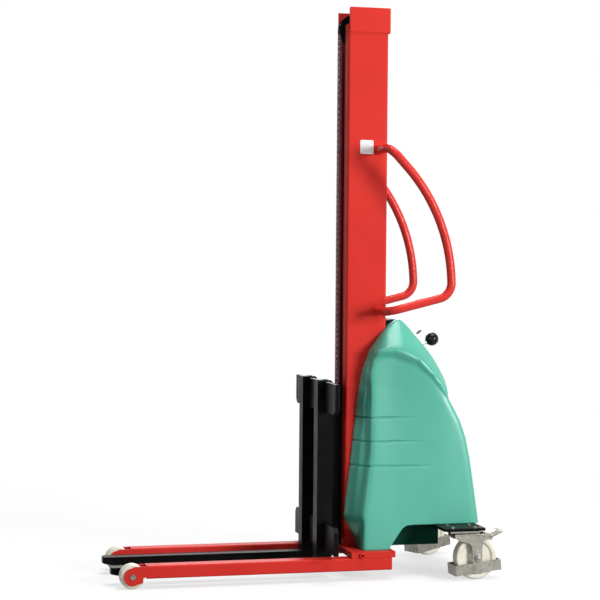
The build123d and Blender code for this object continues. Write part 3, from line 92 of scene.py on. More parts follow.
class Tree:
    """A node tree being made."""

    def __init__(self, tree):
        self.tree = tree

    def node(self, kind, settings=None, inputs=None, out=0):
        """Any node: its settings first, then the values or links of its sockets."""
        made = self.tree.nodes.new(kind)
        for key, value in (settings or {}).items():
            setattr(made, key, value)
        for key, value in (inputs or {}).items():
            self.feed(made.inputs[key], value)
        return Value(self, made.outputs[out])

    def feed(self, socket, value):
        if isinstance(value, Value):
            self.tree.links.new(value.socket, socket)
        elif socket.type == "RGBA" and len(value) == 3:
            socket.default_value = (*value, 1)
        else:
            socket.default_value = value

    def seen_by_camera(self):
        """1 for rays from the camera, straight or by way of gloss or glass, and 0 for all others."""
        seen = self.node("ShaderNodeLightPath", out="Is Camera Ray")
        for ray in ("Is Glossy Ray", "Is Transmission Ray"):
            seen = seen.sum("MAXIMUM", seen, self.node("ShaderNodeLightPath", out=ray))
        return seen


class Finish(Tree):
    """A material being made. Places are Object coordinates, in metres."""

    def __init__(self, name):
        self.material = bpy.data.materials.new(name)
        self.material.use_nodes = True
        super().__init__(self.material.node_tree)
        self.shader = self.tree.nodes["Principled BSDF"]
        self.place = self.node("ShaderNodeTexCoord", out="Object")

    def noise(self, scale, detail=3.0, rough=0.5, stretch=None):
        """Soft noise with so many lumps to the metre, drawn out along an axis if asked."""
        place = self.place
        if stretch:
            place = self.node("ShaderNodeMapping", inputs={"Vector": place, "Scale": stretch})
        sockets = {"Vector": place, "Scale": scale, "Detail": detail, "Roughness": rough}
        return self.node("ShaderNodeTexNoise", inputs=sockets)

    def cells(self, scale):
        """How far a point is from the middle of its cell, with so many cells to the metre."""
        sockets = {"Vector": self.place, "Scale": scale}
        return self.node("ShaderNodeTexVoronoi", inputs=sockets, out="Distance")

    def mix(self, share, first, second):
        """Colour between two colours."""
        settings = {"data_type": "RGBA"}
        return self.node("ShaderNodeMix", settings, {0: share, 6: first, 7: second}, out=2)

    def bump(self, height, strength, distance):
        sockets = {"Height": height, "Strength": strength, "Distance": distance}
        return self.node("ShaderNodeBump", inputs=sockets)

    def surface(self, **inputs):
        """Feeds the shader's sockets, named with underscores for spaces, and gives the material."""
        for key, value in inputs.items():
            self.feed(self.shader.inputs[key.replace("_", " ")], value)
        return self.material


def enamel(name, colour, shade, rough=0.3, shine=0.035):
    """Sprayed enamel: slight clouding, orange peel and a thin dull bloom of handling."""
    coat = Finish(name)
    cloud = coat.noise(5.0, detail=4.0)
    bloom = coat.noise(38.0, detail=5.0, rough=0.62).above(0.56, soft=0.16)
    peel = coat.noise(420.0, detail=2.0)
    paint = coat.mix(cloud.above(0.5, soft=0.28), colour, shade)
    return coat.surface(
        Base_Color=paint,
        Roughness=rough + bloom * 0.09 + cloud * 0.05,
        Specular_IOR_Level=shine,
        Normal=coat.bump(peel, strength=0.05, distance=0.0006),
    )


def black_enamel(name):
    """Black paint on rolled steel, greyed by dust and rubbed a little along the work faces."""
    coat = Finish(name)
    scale = coat.noise(60.0, detail=6.0, rough=0.6)
    dust = coat.noise(9.0, detail=4.0).above(0.55, soft=0.2)
    rub = coat.noise(140.0, stretch=(0.08, 1.0, 1.0)).above(0.66, soft=0.07)
    paint = coat.mix(dust * 0.5, (0.002, 0.0021, 0.002), (0.0048, 0.0048, 0.0044))
    paint = coat.mix(rub * 0.35, paint, (0.03, 0.029, 0.0275))
    return coat.surface(
        Base_Color=paint,
        Roughness=0.34 + dust * 0.12 + rub * 0.1,
        Specular_IOR_Level=0.05,
        Normal=coat.bump(scale, strength=0.12, distance=0.0008),
    )


def moulding(name, colour, shade):
    """Moulded hood plastic: even satin colour, fine grain and faint flow marks."""
    shell = Finish(name)
    flow = shell.noise(3.2)
    grain = shell.noise(900.0, detail=2.0)
    haze = shell.noise(16.0, detail=5.0, rough=0.6).above(0.55, soft=0.2)
    return shell.surface(
        Base_Color=shell.mix(flow.above(0.5, soft=0.3), colour, shade),
        Roughness=0.3 + haze * 0.07 + flow * 0.04,
        Specular_IOR_Level=0.5,
        Normal=shell.bump(grain, strength=0.06, distance=0.0004),
    )


def zinc(name):
    """Zinc-plated pressed steel with a cloudy grey bloom."""
    plate = Finish(name)
    spangle = plate.cells(90.0)
    cloud = plate.noise(28.0, detail=5.0, rough=0.65)
    stain = plate.noise(70.0, detail=4.0, rough=0.6).above(0.62, soft=0.1)
    colour = plate.mix(cloud.above(0.5, soft=0.3), (0.17, 0.162, 0.142), (0.265, 0.255, 0.226))
    colour = plate.mix(stain * 0.6, colour, (0.06, 0.05, 0.042))
    return plate.surface(
        Base_Color=colour,
        Metallic=1.0,
        Roughness=0.26 + spangle * 0.2 + stain * 0.15,
        Normal=plate.bump(cloud, strength=0.1, distance=0.0008),
    )


def nylon(name):
    """Ivory nylon wheel: waxy, with grey scuffs of the floor."""
    wheel = Finish(name)
    tone = wheel.noise(24.0)
    scuff = wheel.noise(130.0, detail=5.0, rough=0.65).above(0.62, soft=0.09)
    colour = wheel.mix(tone.above(0.5, soft=0.25), (0.76, 0.74, 0.63), (0.68, 0.655, 0.54))
    colour = wheel.mix(scuff * 0.45, colour, (0.42, 0.39, 0.33))
    return wheel.surface(
        Base_Color=colour,
        Roughness=0.42 + scuff * 0.2,
        Normal=wheel.bump(scuff + tone, strength=0.06, distance=0.0006),
    )


def machined(name, colour, rough):
    """Turned or ground steel with fine lines and a slight tarnish."""
    steel = Finish(name)
    lines = steel.noise(700.0, detail=2.0, stretch=(1.0, 0.06, 1.0))
    tarnish = steel.noise(45.0, detail=4.0).above(0.58, soft=0.15)
    shade = [part * 0.6 for part in colour]
    return steel.surface(
        Base_Color=steel.mix(tarnish * 0.6, colour, shade),
        Metallic=1.0,
        Roughness=rough + lines * 0.12 + tarnish * 0.12,
        Normal=steel.bump(lines, strength=0.05, distance=0.0003),
    )


def oiled_chain(name):
    """Chain steel under a film of old oil; the bare steel between is tinted lavender as a painted reflection of
    the sky.
    """
    steel = Finish(name)
    film = steel.noise(160.0, detail=4.0, rough=0.6).above(0.52, soft=0.18)
    return steel.surface(
        # Painted reflection: the lighter tone is lavender, standing in for the sky reflected in bare steel; the
        # darker tone is the oil film.
        Base_Color=steel.mix(film, (0.2, 0.155, 0.2), (0.045, 0.036, 0.045)),
        Metallic=0.85,
        Roughness=0.28 + film * 0.2,
        Normal=steel.bump(film, strength=0.06, distance=0.0004),
    )


def resin(name, colour, shade, rough, shine=0.5):
    """Dense moulded plastic with a faint mottle."""
    part = Finish(name)
    mottle = part.noise(85.0, detail=4.0, rough=0.6)
    grain = part.noise(600.0, detail=2.0)
    return part.surface(
        Base_Color=part.mix(mottle.above(0.5, soft=0.2), colour, shade),
        Roughness=rough + mottle * 0.08,
        Specular_IOR_Level=shine,
        Normal=part.bump(grain, strength=0.04, distance=0.0003),
    )


RED, RED_SHADE = (0.625, 0.036, 0.027), (0.58, 0.031, 0.024)
HANDLE_ENAMEL = enamel("handle_enamel", RED, RED_SHADE, rough=0.13, shine=0.12)
FINISHES = {
    "red_paint": enamel("red_enamel", RED, RED_SHADE),
    "black_paint": black_enamel("black_enamel"),
    "green_moulding": moulding("green_hood_plastic", (0.07, 0.39, 0.285), (0.06, 0.365, 0.265)),
    # Painted shade: the undertray's green is drawn far darker than the hood's, to stand in for the shade under the
    # hood.
    "green_sheet": enamel("green_tray_paint_with_painted_shade", (0.006, 0.06, 0.04), (0.005, 0.05, 0.033), rough=0.4),
    "ivory_nylon": nylon("ivory_nylon"),
    "zinc_plate": zinc("zinc_plating"),
    "chain_steel": oiled_chain("oiled_chain_steel_with_painted_reflection"),
    "bright_steel": machined("bright_steel", (0.72, 0.72, 0.73), rough=0.12),
    "machined_steel": machined("ground_steel", (0.5, 0.5, 0.51), rough=0.28),
    "black_knob": resin("black_knob_resin", (0.003, 0.003, 0.0035), (0.005, 0.005, 0.0055),
                        rough=0.08, shine=0.2),
    "black_case": resin("black_case_plastic", (0.008, 0.008, 0.009), (0.012, 0.012, 0.013), rough=0.5),
    "white_plate": resin("white_plate_plastic", (0.82, 0.82, 0.81), (0.76, 0.76, 0.75), rough=0.3),
    "unit_paint": enamel("dark_unit_paint", (0.05, 0.05, 0.055), (0.04, 0.04, 0.044), rough=0.4),
    "alloy": machined("cast_alloy", (0.6, 0.6, 0.61), rough=0.35),
}
SLOT_OF = {part["node"]: part["material_slot"] for part in frame["record"]["subparts"]}
BODIES = frame["record"]["behaviour"]["bodies"]
BODY_OF = {node: body for body, members in BODIES.items() for node in members}
JOINTS = {joint["name"]: joint for joint in frame["joints"]}


def dress_cad_nodes():
    """Gives every CAD node its finish."""
    for name, piece in nodes.items():
        piece.data.materials.clear()
        piece.data.materials.append(FINISHES[SLOT_OF[name]])


# From here to the camera, sizes and places are in millimetres: X runs back from the mast's front face, Y to
# the far side and Z up from the floor.
SIDES = {"near": -1, "far": 1}
ALONG_X, ALONG_Y, UP = (1, 0, 0), (0, 1, 0), (0, 0, 1)
MERGED = 0.001
CREASE_MARGIN = 12


def pivot(joint):
    """Where a joint turns, at rest."""
    return Vector(JOINTS[joint]["pos_m"]) / MM


def steady_normals(mesh, least):
    """Lets broad faces keep their own normal, so that only the narrow rounded edges blend."""
    around = {}
    for face in mesh.polygons:
        for index in face.vertices:
            around.setdefault(index, []).append((face.normal.copy(), face.area))
    normals = []
    for face in mesh.polygons:
        for index in face.vertices:
            parts = [normal * area for normal, area in around[index] if normal.dot(face.normal) > least]
            normals.append(sum(parts, Vector()).normalized() if parts else face.normal)
    mesh.normals_split_custom_set(normals)


def new_piece(name, shape, node, place=None, slot=None, replaces=True, outward=True, rides=True, crease=32):
    """Turns a bmesh into an object in metres that stands for a CAD node and rides with it."""
    bmesh.ops.remove_doubles(shape, verts=shape.verts, dist=MERGED)
    if outward:
        bmesh.ops.recalc_face_normals(shape, faces=shape.faces)
    move(shape, shape.verts, Matrix.Scale(MM, 4) @ (place or Matrix()))
    mesh = bpy.data.meshes.new(name)
    shape.to_mesh(mesh)
    shape.free()
    slot = slot or SLOT_OF[node]
    mesh.materials.append(FINISHES[slot])
    mesh.shade_smooth()
    mesh.set_sharp_from_angle(angle=math.radians(crease))
    steady_normals(mesh, math.cos(math.radians(crease + CREASE_MARGIN)))
    piece = bpy.data.objects.new(name, mesh)
    bpy.context.scene.collection.objects.link(piece)
    if rides:
        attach(piece, BODY_OF[node])
    if replaces:
        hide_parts(node)
    return piece


def only(kind, geom):
    """The parts of one kind in what an operator gives back."""
    return [part for part in geom if isinstance(part, kind)]


def extended(shape):
    """The vertices that the next steps add to a shape, asked for by calling what this gives."""
    known = set(shape.verts)
    return lambda: [vert for vert in shape.verts if vert not in known]


def round_edges(shape, edges, width, segments=2):
    bmesh.ops.bevel(shape, geom=edges, offset=width, offset_type="OFFSET", segments=segments,
                    profile=0.5, affect="EDGES", clamp_overlap=True, material=-1)


def soften(shape, width, verts=None, segments=2, least=30):
    """Rounds every edge whose faces meet at a clear angle, in degrees."""
    chosen = set(verts if verts is not None else shape.verts)
    edges = [
        edge for edge in shape.edges
        if len(edge.link_faces) == 2 and edge.calc_face_angle(0) > math.radians(least)
        and edge.verts[0] in chosen and edge.verts[1] in chosen
    ]
    round_edges(shape, edges, width, segments)


def move(shape, verts, matrix):
    bmesh.ops.transform(shape, matrix=matrix, verts=verts)


def raised(height):
    return Matrix.Translation((0, 0, height))


def pointing(x, y, z, way):
    """Turns a form that stands on Z 0 so that it points along Y, to one side or the other, from a place."""
    return Matrix.Translation((x, y, z)) @ Matrix.Rotation(-way * math.pi / 2, 4, "X")


def standing(place, direction):
    """Turns a form that stands on Z 0 so that it points along a direction from a place."""
    return Matrix.Translation(place) @ Vector(direction).to_track_quat("Z", "Y").to_matrix().to_4x4()


def turned(shape, profile, place=Matrix(), steps=40):
    """Adds a form turned about Z from pairs of radius and height."""
    new = extended(shape)
    points = [shape.verts.new((radius, 0, height)) for radius, height in profile]
    lines = [shape.edges.new(pair) for pair in zip(points, points[1:])]
    bmesh.ops.spin(shape, geom=points + lines, axis=UP, cent=(0, 0, 0),
                   angle=math.tau, steps=steps, use_merge=True)
    bmesh.ops.remove_doubles(shape, verts=new(), dist=MERGED)
    move(shape, new(), place)


def rod(shape, radius, start, end, place, steps=40):
    """Adds a round bar along Z between two heights."""
    turned(shape, [(0, start), (radius, start), (radius, end), (0, end)], place, steps)


def both_sides(half):
    """The closed profile of a wheel, from the half of it above the wheel's middle plane."""
    return half + [(radius, -height) for radius, height in reversed(half) if height] + [half[0]]


def slab(shape, outline, low, high, soft=0.0, segments=2):
    """Adds a flat plate: an outline of X and Z, drawn out along Y, with its edges softened."""
    new = extended(shape)
    face = shape.faces.new([shape.verts.new((x, low, z)) for x, z in outline])
    for vert in only(bmesh.types.BMVert, bmesh.ops.extrude_face_region(shape, geom=[face])["geom"]):
        vert.co.y = high
    if soft:
        soften(shape, soft, new(), segments)
    return new()


def brick(shape, low, high, soft, segments=2):
    """Adds a block between two corners, with its edges softened."""
    (x0, y0, z0), (x1, y1, z1) = low, high
    return slab(shape, [(x0, z0), (x1, z0), (x1, z1), (x0, z1)], y0, y1, soft, segments)


def arc(x, z, radius, start, end, steps):
    """Points of X and Z on an arc, in degrees."""
    turns = [math.radians(start + (end - start) * i / steps) for i in range(steps + 1)]
    return [(x + radius * math.cos(turn), z + radius * math.sin(turn)) for turn in turns]


def hexagon(shape, across, height, place, soft):
    """Adds a hexagon head or nut that stands on Z 0."""
    new = extended(shape)
    radius = across / math.sqrt(3)
    bmesh.ops.create_cone(shape, cap_ends=True, segments=6, radius1=radius, radius2=radius, depth=height)
    soften(shape, soft, new())
    move(shape, new(), place @ raised(height / 2))


def socket_head(shape, radius, height, across, place):
    """Adds a cap screw head that stands on Z 0, with a hexagon recess in its top."""
    chamfer, recess_depth = radius * 0.12, height * 0.55
    new = extended(shape)
    turned(shape, [(0, 0), (radius, 0), (radius, height - chamfer), (radius - chamfer, height)], steps=36)
    head = set(new())
    rim = [edge for edge in shape.edges if edge.verts[0] in head and len(edge.link_faces) == 1]
    before = set(shape.edges)
    bmesh.ops.create_circle(shape, segments=6, radius=across / math.sqrt(3), matrix=raised(height))
    recess = [edge for edge in shape.edges if edge not in before]
    bmesh.ops.bridge_loops(shape, edges=rim + recess)
    pushed = bmesh.ops.extrude_edge_only(shape, edges=recess)["geom"]
    bmesh.ops.translate(shape, vec=(0, 0, -recess_depth), verts=only(bmesh.types.BMVert, pushed))
    bmesh.ops.contextual_create(shape, geom=only(bmesh.types.BMEdge, pushed))
    move(shape, new(), place)


def cad_copy(node):
    """A node's own mesh, with its triangles joined up."""
    joined, flat = 0.01, math.radians(1.5)
    shape = bmesh.new()
    shape.from_mesh(nodes[node].data)
    bmesh.ops.scale(shape, vec=(1 / MM, 1 / MM, 1 / MM), verts=shape.verts)
    bmesh.ops.remove_doubles(shape, verts=shape.verts, dist=joined)
    bmesh.ops.dissolve_limit(shape, angle_limit=flat, verts=shape.verts, edges=shape.edges)
    return shape


def rounded(node, width):
    """Stands for a plain node with its sharp edges broken."""
    shape = cad_copy(node)
    soften(shape, width)
    return new_piece(node + "_finished", shape, node, outward=False)


def remeshed(shape, voxel):
    """The one skin round everything in a shape, as an even mesh."""
    mesh = bpy.data.meshes.new("form")
    shape.to_mesh(mesh)
    shape.free()
    form = bpy.data.objects.new("form", mesh)
    bpy.context.scene.collection.objects.link(form)
    skin = form.modifiers.new("skin", "REMESH")
    skin.mode = "VOXEL"
    skin.voxel_size = voxel
    even = bpy.data.meshes.new_from_object(form.evaluated_get(bpy.context.evaluated_depsgraph_get()))
    bpy.data.objects.remove(form)
    bpy.data.meshes.remove(mesh)
    shape = bmesh.new()
    shape.from_mesh(even)
    bpy.data.meshes.remove(even)
    return shape


def between(value, table):
    """Straight-line reading of a table of pairs."""
    if value <= table[0][0]:
        return table[0][1]
    for (x0, y0), (x1, y1) in zip(table, table[1:]):
        if value <= x1:
            return y0 + (y1 - y0) * (value - x0) / (x1 - x0)
    return table[-1][1]


def along(points, place):
    """A point on the smooth curve through a list of points, at a place counted in points."""
    first = min(int(place), len(points) - 2)
    share = place - first
    around = [min(max(first + step, 0), len(points) - 1) for step in (-1, 0, 1, 2)]
    before, start, end, after = (Vector(points[index]) for index in around)
    rise, bend = end - before, 2 * before - 5 * start + 4 * end - after
    return start + 0.5 * share * (rise + share * (bend + share * (3 * start - before - 3 * end + after)))


def ease(value, start, end):
    """0 at the start, 1 at the end, with soft ends."""
    share = min(max((value - start) / (end - start), 0.0), 1.0)
    return share * share * (3 - 2 * share)


# Outlines of X and Z. The front also says how far back the flank's edge lies, and the dome its half width.
# A groove has its height and the X where it ends.
HOOD_HALF = 172
HOOD_FRONT = [(84, 783, 0), (53, 700, 14), (36, 600, 36), (15, 400, 54), (-7, 205, 50), (37, 117, 2),
              (37, 20, 2)]
HOOD_REAR = [(486, 20), (464, 181), (448, 291), (431, 400), (414, 480), (392, 540), (358, 603), (324, 654),
             (284, 703), (234, 751), (150, 783)]
HOOD_FOOT = [(-200, 97.3), (131, 97.3)] + arc(209.9, 141, 40, 145.2, 90, steps=4) + [(600, 181)]
HOOD_EDGE, HOOD_WALL, HOOD_VOXEL = 15, 4, 5.5
RIDGE = sorted(HOOD_REAR)
DOME_TOP = [(84, 783, 140), (134, 850, 95), (190, 890, 70), (225, 865, 73), (262, 820, 86), (303, 768, 97),
            (331, 720, 106), (352, 673, 120)]
DOME_FOOT = [(100, 786), (128, 789), (180, 782), (209, 771), (250, 748), (296, 700), (324, 664), (345, 632)]
DOME_FOOT_HALF, DOME_ROOT_HALF, DOME_ROOT_DEPTH, DOME_STEPS = 171, 150, 60, 8
NOTCH_HALF, NOTCH_DEPTH = 79, 146
FLANK_FROM = NOTCH_HALF - 6
SMOOTHINGS, RIDGE_SMOOTHINGS = 13, 14
GROOVES = [(552, 245), (470, 275), (385, 310)]
GROOVE_LINES = (-6, -3.5, -1.2, 1.2, 3.5)
GROOVE_DEPTH, GROOVE_HALF, GROOVE_FADE = 4.4, 7, 150
GROOVE_BELOW, GROOVE_ABOVE = (-6.5, -1), (3.4, 1.1)
SLOT_AT, SLOT_TANGENT = Vector((280.2, 0, 786.2)), Vector((-0.5628, 0, 0.8267))
SLOT_HALF, SLOT_REACH, SLOT_NEAR, SLOT_AROUND = 7, 18, 30, 45
GAP_HALF, GAP_REAR, GAP_FLOOR, GAP_AROUND = 54, 188, 835, 205
SEAL = [(146, 770), (146, 885), (182, 888), (192, 882), (205, 862), (205, 770)]
SEAL_HALF = 53


def hood_body(shape):
    """Adds the hood's lower body as a closed block: front edges swept back, rear rim rounded."""
    outline = [(x, z) for x, z, sweep in HOOD_FRONT] + HOOD_REAR
    face = shape.faces.new([shape.verts.new((x, -HOOD_HALF, z)) for x, z in outline])
    for y in (-NOTCH_HALF, NOTCH_HALF, HOOD_HALF):
        made = bmesh.ops.extrude_face_region(shape, geom=[face])["geom"]
        for vert in only(bmesh.types.BMVert, made):
            vert.co.y = y
        face = only(bmesh.types.BMFace, made)[0]
    sides = [vert for vert in shape.verts if abs(vert.co.y) == HOOD_HALF]
    for x, z, sweep in HOOD_FRONT:
        for vert in sides:
            if vert.co.x == x and vert.co.z == z:
                vert.co.x += sweep
    rim = [
        edge for edge in shape.edges
        if all(vert in sides and (vert.co.x, vert.co.z) in HOOD_REAR for vert in edge.verts)
        and edge.verts[0].co.y == edge.verts[1].co.y
    ]
    round_edges(shape, rim, HOOD_EDGE, segments=3)


def dome_ring(place):
    """Corners round the dome, at a place counted in points of its outlines."""
    x, z, half = along(DOME_TOP, place)
    foot_x, foot_z = along(DOME_FOOT, place)
    root_z = foot_z - DOME_ROOT_DEPTH
    return [
        (x, -half, z), (x, half, z), (foot_x, DOME_FOOT_HALF, foot_z), (foot_x, DOME_ROOT_HALF, root_z),
        (foot_x, -DOME_ROOT_HALF, root_z), (foot_x, -DOME_FOOT_HALF, foot_z),
    ]


def hood_dome(shape):
    """Adds the dome with its leaning sides as a closed block, drawn out from front to rear."""
    face = shape.faces.new([shape.verts.new(corner) for corner in dome_ring(0)])
    for step in range(1, DOME_STEPS * (len(DOME_TOP) - 1) + 1):
        made = bmesh.ops.extrude_face_region(shape, geom=[face])["geom"]
        if step > 1:
            bmesh.ops.delete(shape, geom=[face], context="FACES_ONLY")
        face = only(bmesh.types.BMFace, made)[0]
        for vert, corner in zip(face.verts, dome_ring(step / DOME_STEPS)):
            vert.co = corner


def faces_where(shape, test):
    """The faces whose middle passes a test."""
    return [face for face in shape.faces if test(face.calc_center_median())]


def slice_through(shape, point, normal, faces):
    """Draws a line of edges where a plane crosses the given faces."""
    edges = {edge for face in faces for edge in face.edges}
    verts = {vert for face in faces for vert in face.verts}
    geom = list(faces) + list(edges) + list(verts)
    bmesh.ops.bisect_plane(shape, geom=geom, plane_co=point, plane_no=normal, dist=MERGED)


def smooth_hood(shape):
    """Softens the whole hood, and then only the front of the ridge between dome and flank."""
    front, flank, near = 235, 80, 40

    def at_ridge(co):
        return co.x < front and abs(co.y) > flank and abs(between(co.x, RIDGE) - co.z) < near

    for step in range(SMOOTHINGS + RIDGE_SMOOTHINGS):
        soft = shape.verts
        if step >= SMOOTHINGS:
            soft = [vert for vert in shape.verts if at_ridge(vert.co)]
        bmesh.ops.smooth_vert(shape, verts=soft, factor=0.5,
                              use_axis_x=True, use_axis_y=True, use_axis_z=True)


def hollow_flanks(shape):
    """Draws the flanks in below the ridge, most at the front, fading out downwards."""
    rear, front = 365, 125
    rear_depth, more_depth = 4, 20
    foot, rise = 100, 560
    crown, flank = 110, 150
    lip, rear_reach, more_reach = 6, 16, 14
    for vert in shape.verts:
        x, y, z = vert.co
        ahead = ease(x, rear, front)
        depth = (rear_depth + more_depth * ahead) * min(max((z - foot) / rise, 0), 1)
        below = ease(between(x, RIDGE) - z, -lip * ahead, rear_reach + more_reach * ahead)
        vert.co.y -= math.copysign(depth * below * ease(abs(y), crown, flank), y)


def press_grooves(shape):
    """Presses the three grooves into both flanks, soft below, steep above and fading to the rear."""
    beside, behind = 16, 12
    for level, end in GROOVES:
        for step in GROOVE_LINES:
            close = faces_where(shape, lambda at: abs(at.y) > FLANK_FROM and abs(at.z - level) < beside
                                and at.x < end + behind)
            slice_through(shape, (0, 0, level + step), UP, close)
    shape.normal_update()
    pressed = []
    for level, end in GROOVES:
        for vert in shape.verts:
            x, y, z = vert.co
            rise = z - level
            if abs(rise) < GROOVE_HALF and x < end and abs(y) > FLANK_FROM:
                depth = GROOVE_DEPTH * ease(rise, *GROOVE_BELOW) * ease(rise, *GROOVE_ABOVE)
                pressed.append((vert, vert.normal * depth * ease(x, end, end - GROOVE_FADE)))
    for vert, push in pressed:
        vert.co -= push


def cut_hood_open(shape):
    """Cuts away the foot, the notch for the mast, the gap behind the mast and the lever's slot."""
    for point, normal in (
        ((0, -NOTCH_HALF, 0), ALONG_Y),
        ((0, NOTCH_HALF, 0), ALONG_Y),
        ((NOTCH_DEPTH, 0, 0), ALONG_X),
    ):
        slice_through(shape, point, normal, list(shape.faces))
    foot_top, beside = 210, 12
    for (x0, z0), (x1, z1) in zip(HOOD_FOOT, HOOD_FOOT[1:]):
        close = faces_where(shape, lambda at: at.z < foot_top and x0 - beside < at.x < x1 + beside)
        slice_through(shape, (x0, 0, z0), (z0 - z1, 0, x1 - x0), close)
    for point, normal in (
        ((0, -SLOT_HALF, 0), ALONG_Y),
        ((0, SLOT_HALF, 0), ALONG_Y),
        (SLOT_AT - SLOT_TANGENT * SLOT_REACH, SLOT_TANGENT),
        (SLOT_AT + SLOT_TANGENT * SLOT_REACH, SLOT_TANGENT),
    ):
        close = faces_where(shape, lambda at: (at - SLOT_AT).length < SLOT_AROUND)
        slice_through(shape, point, normal, close)
    for point, normal in (
        ((0, -GAP_HALF, 0), ALONG_Y),
        ((0, GAP_HALF, 0), ALONG_Y),
        ((GAP_REAR, 0, 0), ALONG_X),
    ):
        close = faces_where(shape, lambda at: at.z > GAP_FLOOR and at.x < GAP_AROUND)
        slice_through(shape, point, normal, close)

    def spare(at):
        off = at - SLOT_AT
        slot = abs(at.y) < SLOT_HALF and abs(off.dot(SLOT_TANGENT)) < SLOT_REACH and off.length < SLOT_NEAR
        gap = abs(at.y) < GAP_HALF and at.x < GAP_REAR and at.z > GAP_FLOOR
        notch = abs(at.y) < NOTCH_HALF and at.x < NOTCH_DEPTH
        return at.z < between(at.x, HOOD_FOOT) or notch or slot or gap

    bmesh.ops.delete(shape, geom=faces_where(shape, spare), context="FACES")


def hood():
    """Moulded hood with its skin, and the seal that fills the gap behind the mast."""
    shape = bmesh.new()
    hood_body(shape)
    hood_dome(shape)
    bmesh.ops.triangulate(shape, faces=shape.faces)
    bmesh.ops.recalc_face_normals(shape, faces=shape.faces)
    shape = remeshed(shape, HOOD_VOXEL)
    smooth_hood(shape)
    hollow_flanks(shape)
    press_grooves(shape)
    cut_hood_open(shape)
    piece = new_piece("hood_moulding", shape, "hood", crease=50)
    wall = piece.modifiers.new("skin", "SOLIDIFY")
    wall.thickness = HOOD_WALL * MM
    wall.offset = -1

    shape = bmesh.new()
    slab(shape, SEAL, -SEAL_HALF, SEAL_HALF, soft=0.6)
    new_piece("hood_seal", shape, "hood", slot="black_paint", replaces=False)


# A castor's own places are taken from its swivel axis, before it is turned.
AXLE_RADIUS = 8
FORK_IN, FORK_OUT = 28.8, 33.8
SWIVEL_RACE = [(0, 157), (30, 157), (33.4, 158.8), (34.6, 160.8), (33.4, 162.6), (30, 163.7), (0, 163.7)]
FORK_CROWN = (-34, -FORK_OUT, 151), (66, FORK_OUT, 158)
FORK_LEG = [(-34, 158), (86, 158), (99, 159.5), (107, 155), (107, 146), (100, 141), (84, 138), (72, 131),
            (67, 118)]
FORK_LEG += arc(48, 68, 18.5, 0, -180, steps=14)
FORK_LEG += [(29.5, 104), (27, 117), (18, 126), (-20, 137), (-34, 147)]
AXLE_WASHER = [(0, 0), (14.5, 0), (14.5, 1.6), (13.8, 2), (0, 2)]
AXLE_END = [(0, 6), (7, 6), (7, 7.4), (6.4, 7.9), (0, 7.9)]
AXLE_NUT_ACROSS, AXLE_NUT_HEIGHT, AXLE_NUT_SEAT = 22, 4.8, 1.9
PEDAL_PIN = [(0, -8), (5, -8), (5, 1.4), (4.2, 2), (0, 2)]
WHEEL = [(8.1, 28.4), (21, 28.4), (22.6, 27.4), (23.4, 14.5), (25.5, 12.4), (50, 12), (54.5, 13.6),
         (56.6, 17.6), (59, 19.6), (68.5, 20), (72, 18.9), (74, 16.2), (74.8, 11), (75, 0)]
PEDAL_HUB_RADIUS, PEDAL_HUB_HALF, PEDAL_HALF = 9, 28.3, 22
PEDAL_ARM = [(86, 158), (100, 160), (108, 162), (116, 165), (122, 168.4), (129, 169), (147, 165.5),
             (148, 162.5), (140, 157.5), (131, 152), (120, 147.5), (104, 144), (90, 144)]
TREAD_RIBS, TREAD_RIB_X, TREAD_RIB_Z, TREAD_PITCH, TREAD_FALL = 5, 125, 167.9, 4.6, 0.8
TREAD_RIB_RADIUS, TREAD_RIB_LENGTH = 1.2, 38
BRAKE_SHOE = (-10, -20, 0), (10, 20, 10.6)
BRAKE_PAD = (97, -18, 138), (108, 18, 147)


def castor_place(side):
    """Where a castor's swivel axis stands, and how far the castor is turned, as its axle shows."""
    across = Vector(JOINTS[side + "_wheel_spin"]["axis"])
    turn = Matrix.Rotation(math.atan2(-across.x, across.y), 4, "Z")
    return Matrix.Translation(pivot(side + "_castor_swivel")) @ turn


def castor(side):
    """Pressed castor: fork with a swivel race, axle nuts, smooth wheel, foot guard and brake pedal."""
    place = castor_place(side)
    axle = place.inverted() @ pivot(side + "_wheel_spin")
    hinge = place.inverted() @ pivot(side + "_brake_press")
    shape = bmesh.new()
    turned(shape, SWIVEL_RACE)
    brick(shape, *FORK_CROWN, soft=2.6, segments=3)
    for way in SIDES.values():
        slab(shape, FORK_LEG, way * FORK_IN, way * FORK_OUT, soft=1.1)
    new_piece(side + "_castor_fork_pressing", shape, side + "_castor_fork", place=place)

    shape = bmesh.new()
    rod(shape, AXLE_RADIUS, -FORK_OUT, FORK_OUT, pointing(axle.x, 0, axle.z, 1))
    for way in SIDES.values():
        at = pointing(axle.x, way * FORK_OUT, axle.z, way)
        turned(shape, AXLE_WASHER, at)
        hexagon(shape, AXLE_NUT_ACROSS, AXLE_NUT_HEIGHT, at @ raised(AXLE_NUT_SEAT), soft=0.9)
        turned(shape, AXLE_END, at)
        turned(shape, PEDAL_PIN, pointing(hinge.x, way * FORK_OUT, hinge.z, way), steps=24)
    new_piece(side + "_castor_axle_and_pin", shape, side + "_castor_pins", place=place)

    shape = bmesh.new()
    turned(shape, both_sides(WHEEL), pointing(axle.x, 0, axle.z, 1), steps=72)
    new_piece(side + "_castor_wheel_moulding", shape, side + "_castor_wheel", place=place)

    brake_pedal(side, place, axle, hinge)
    rounded(side + "_castor_guard", width=1.3)


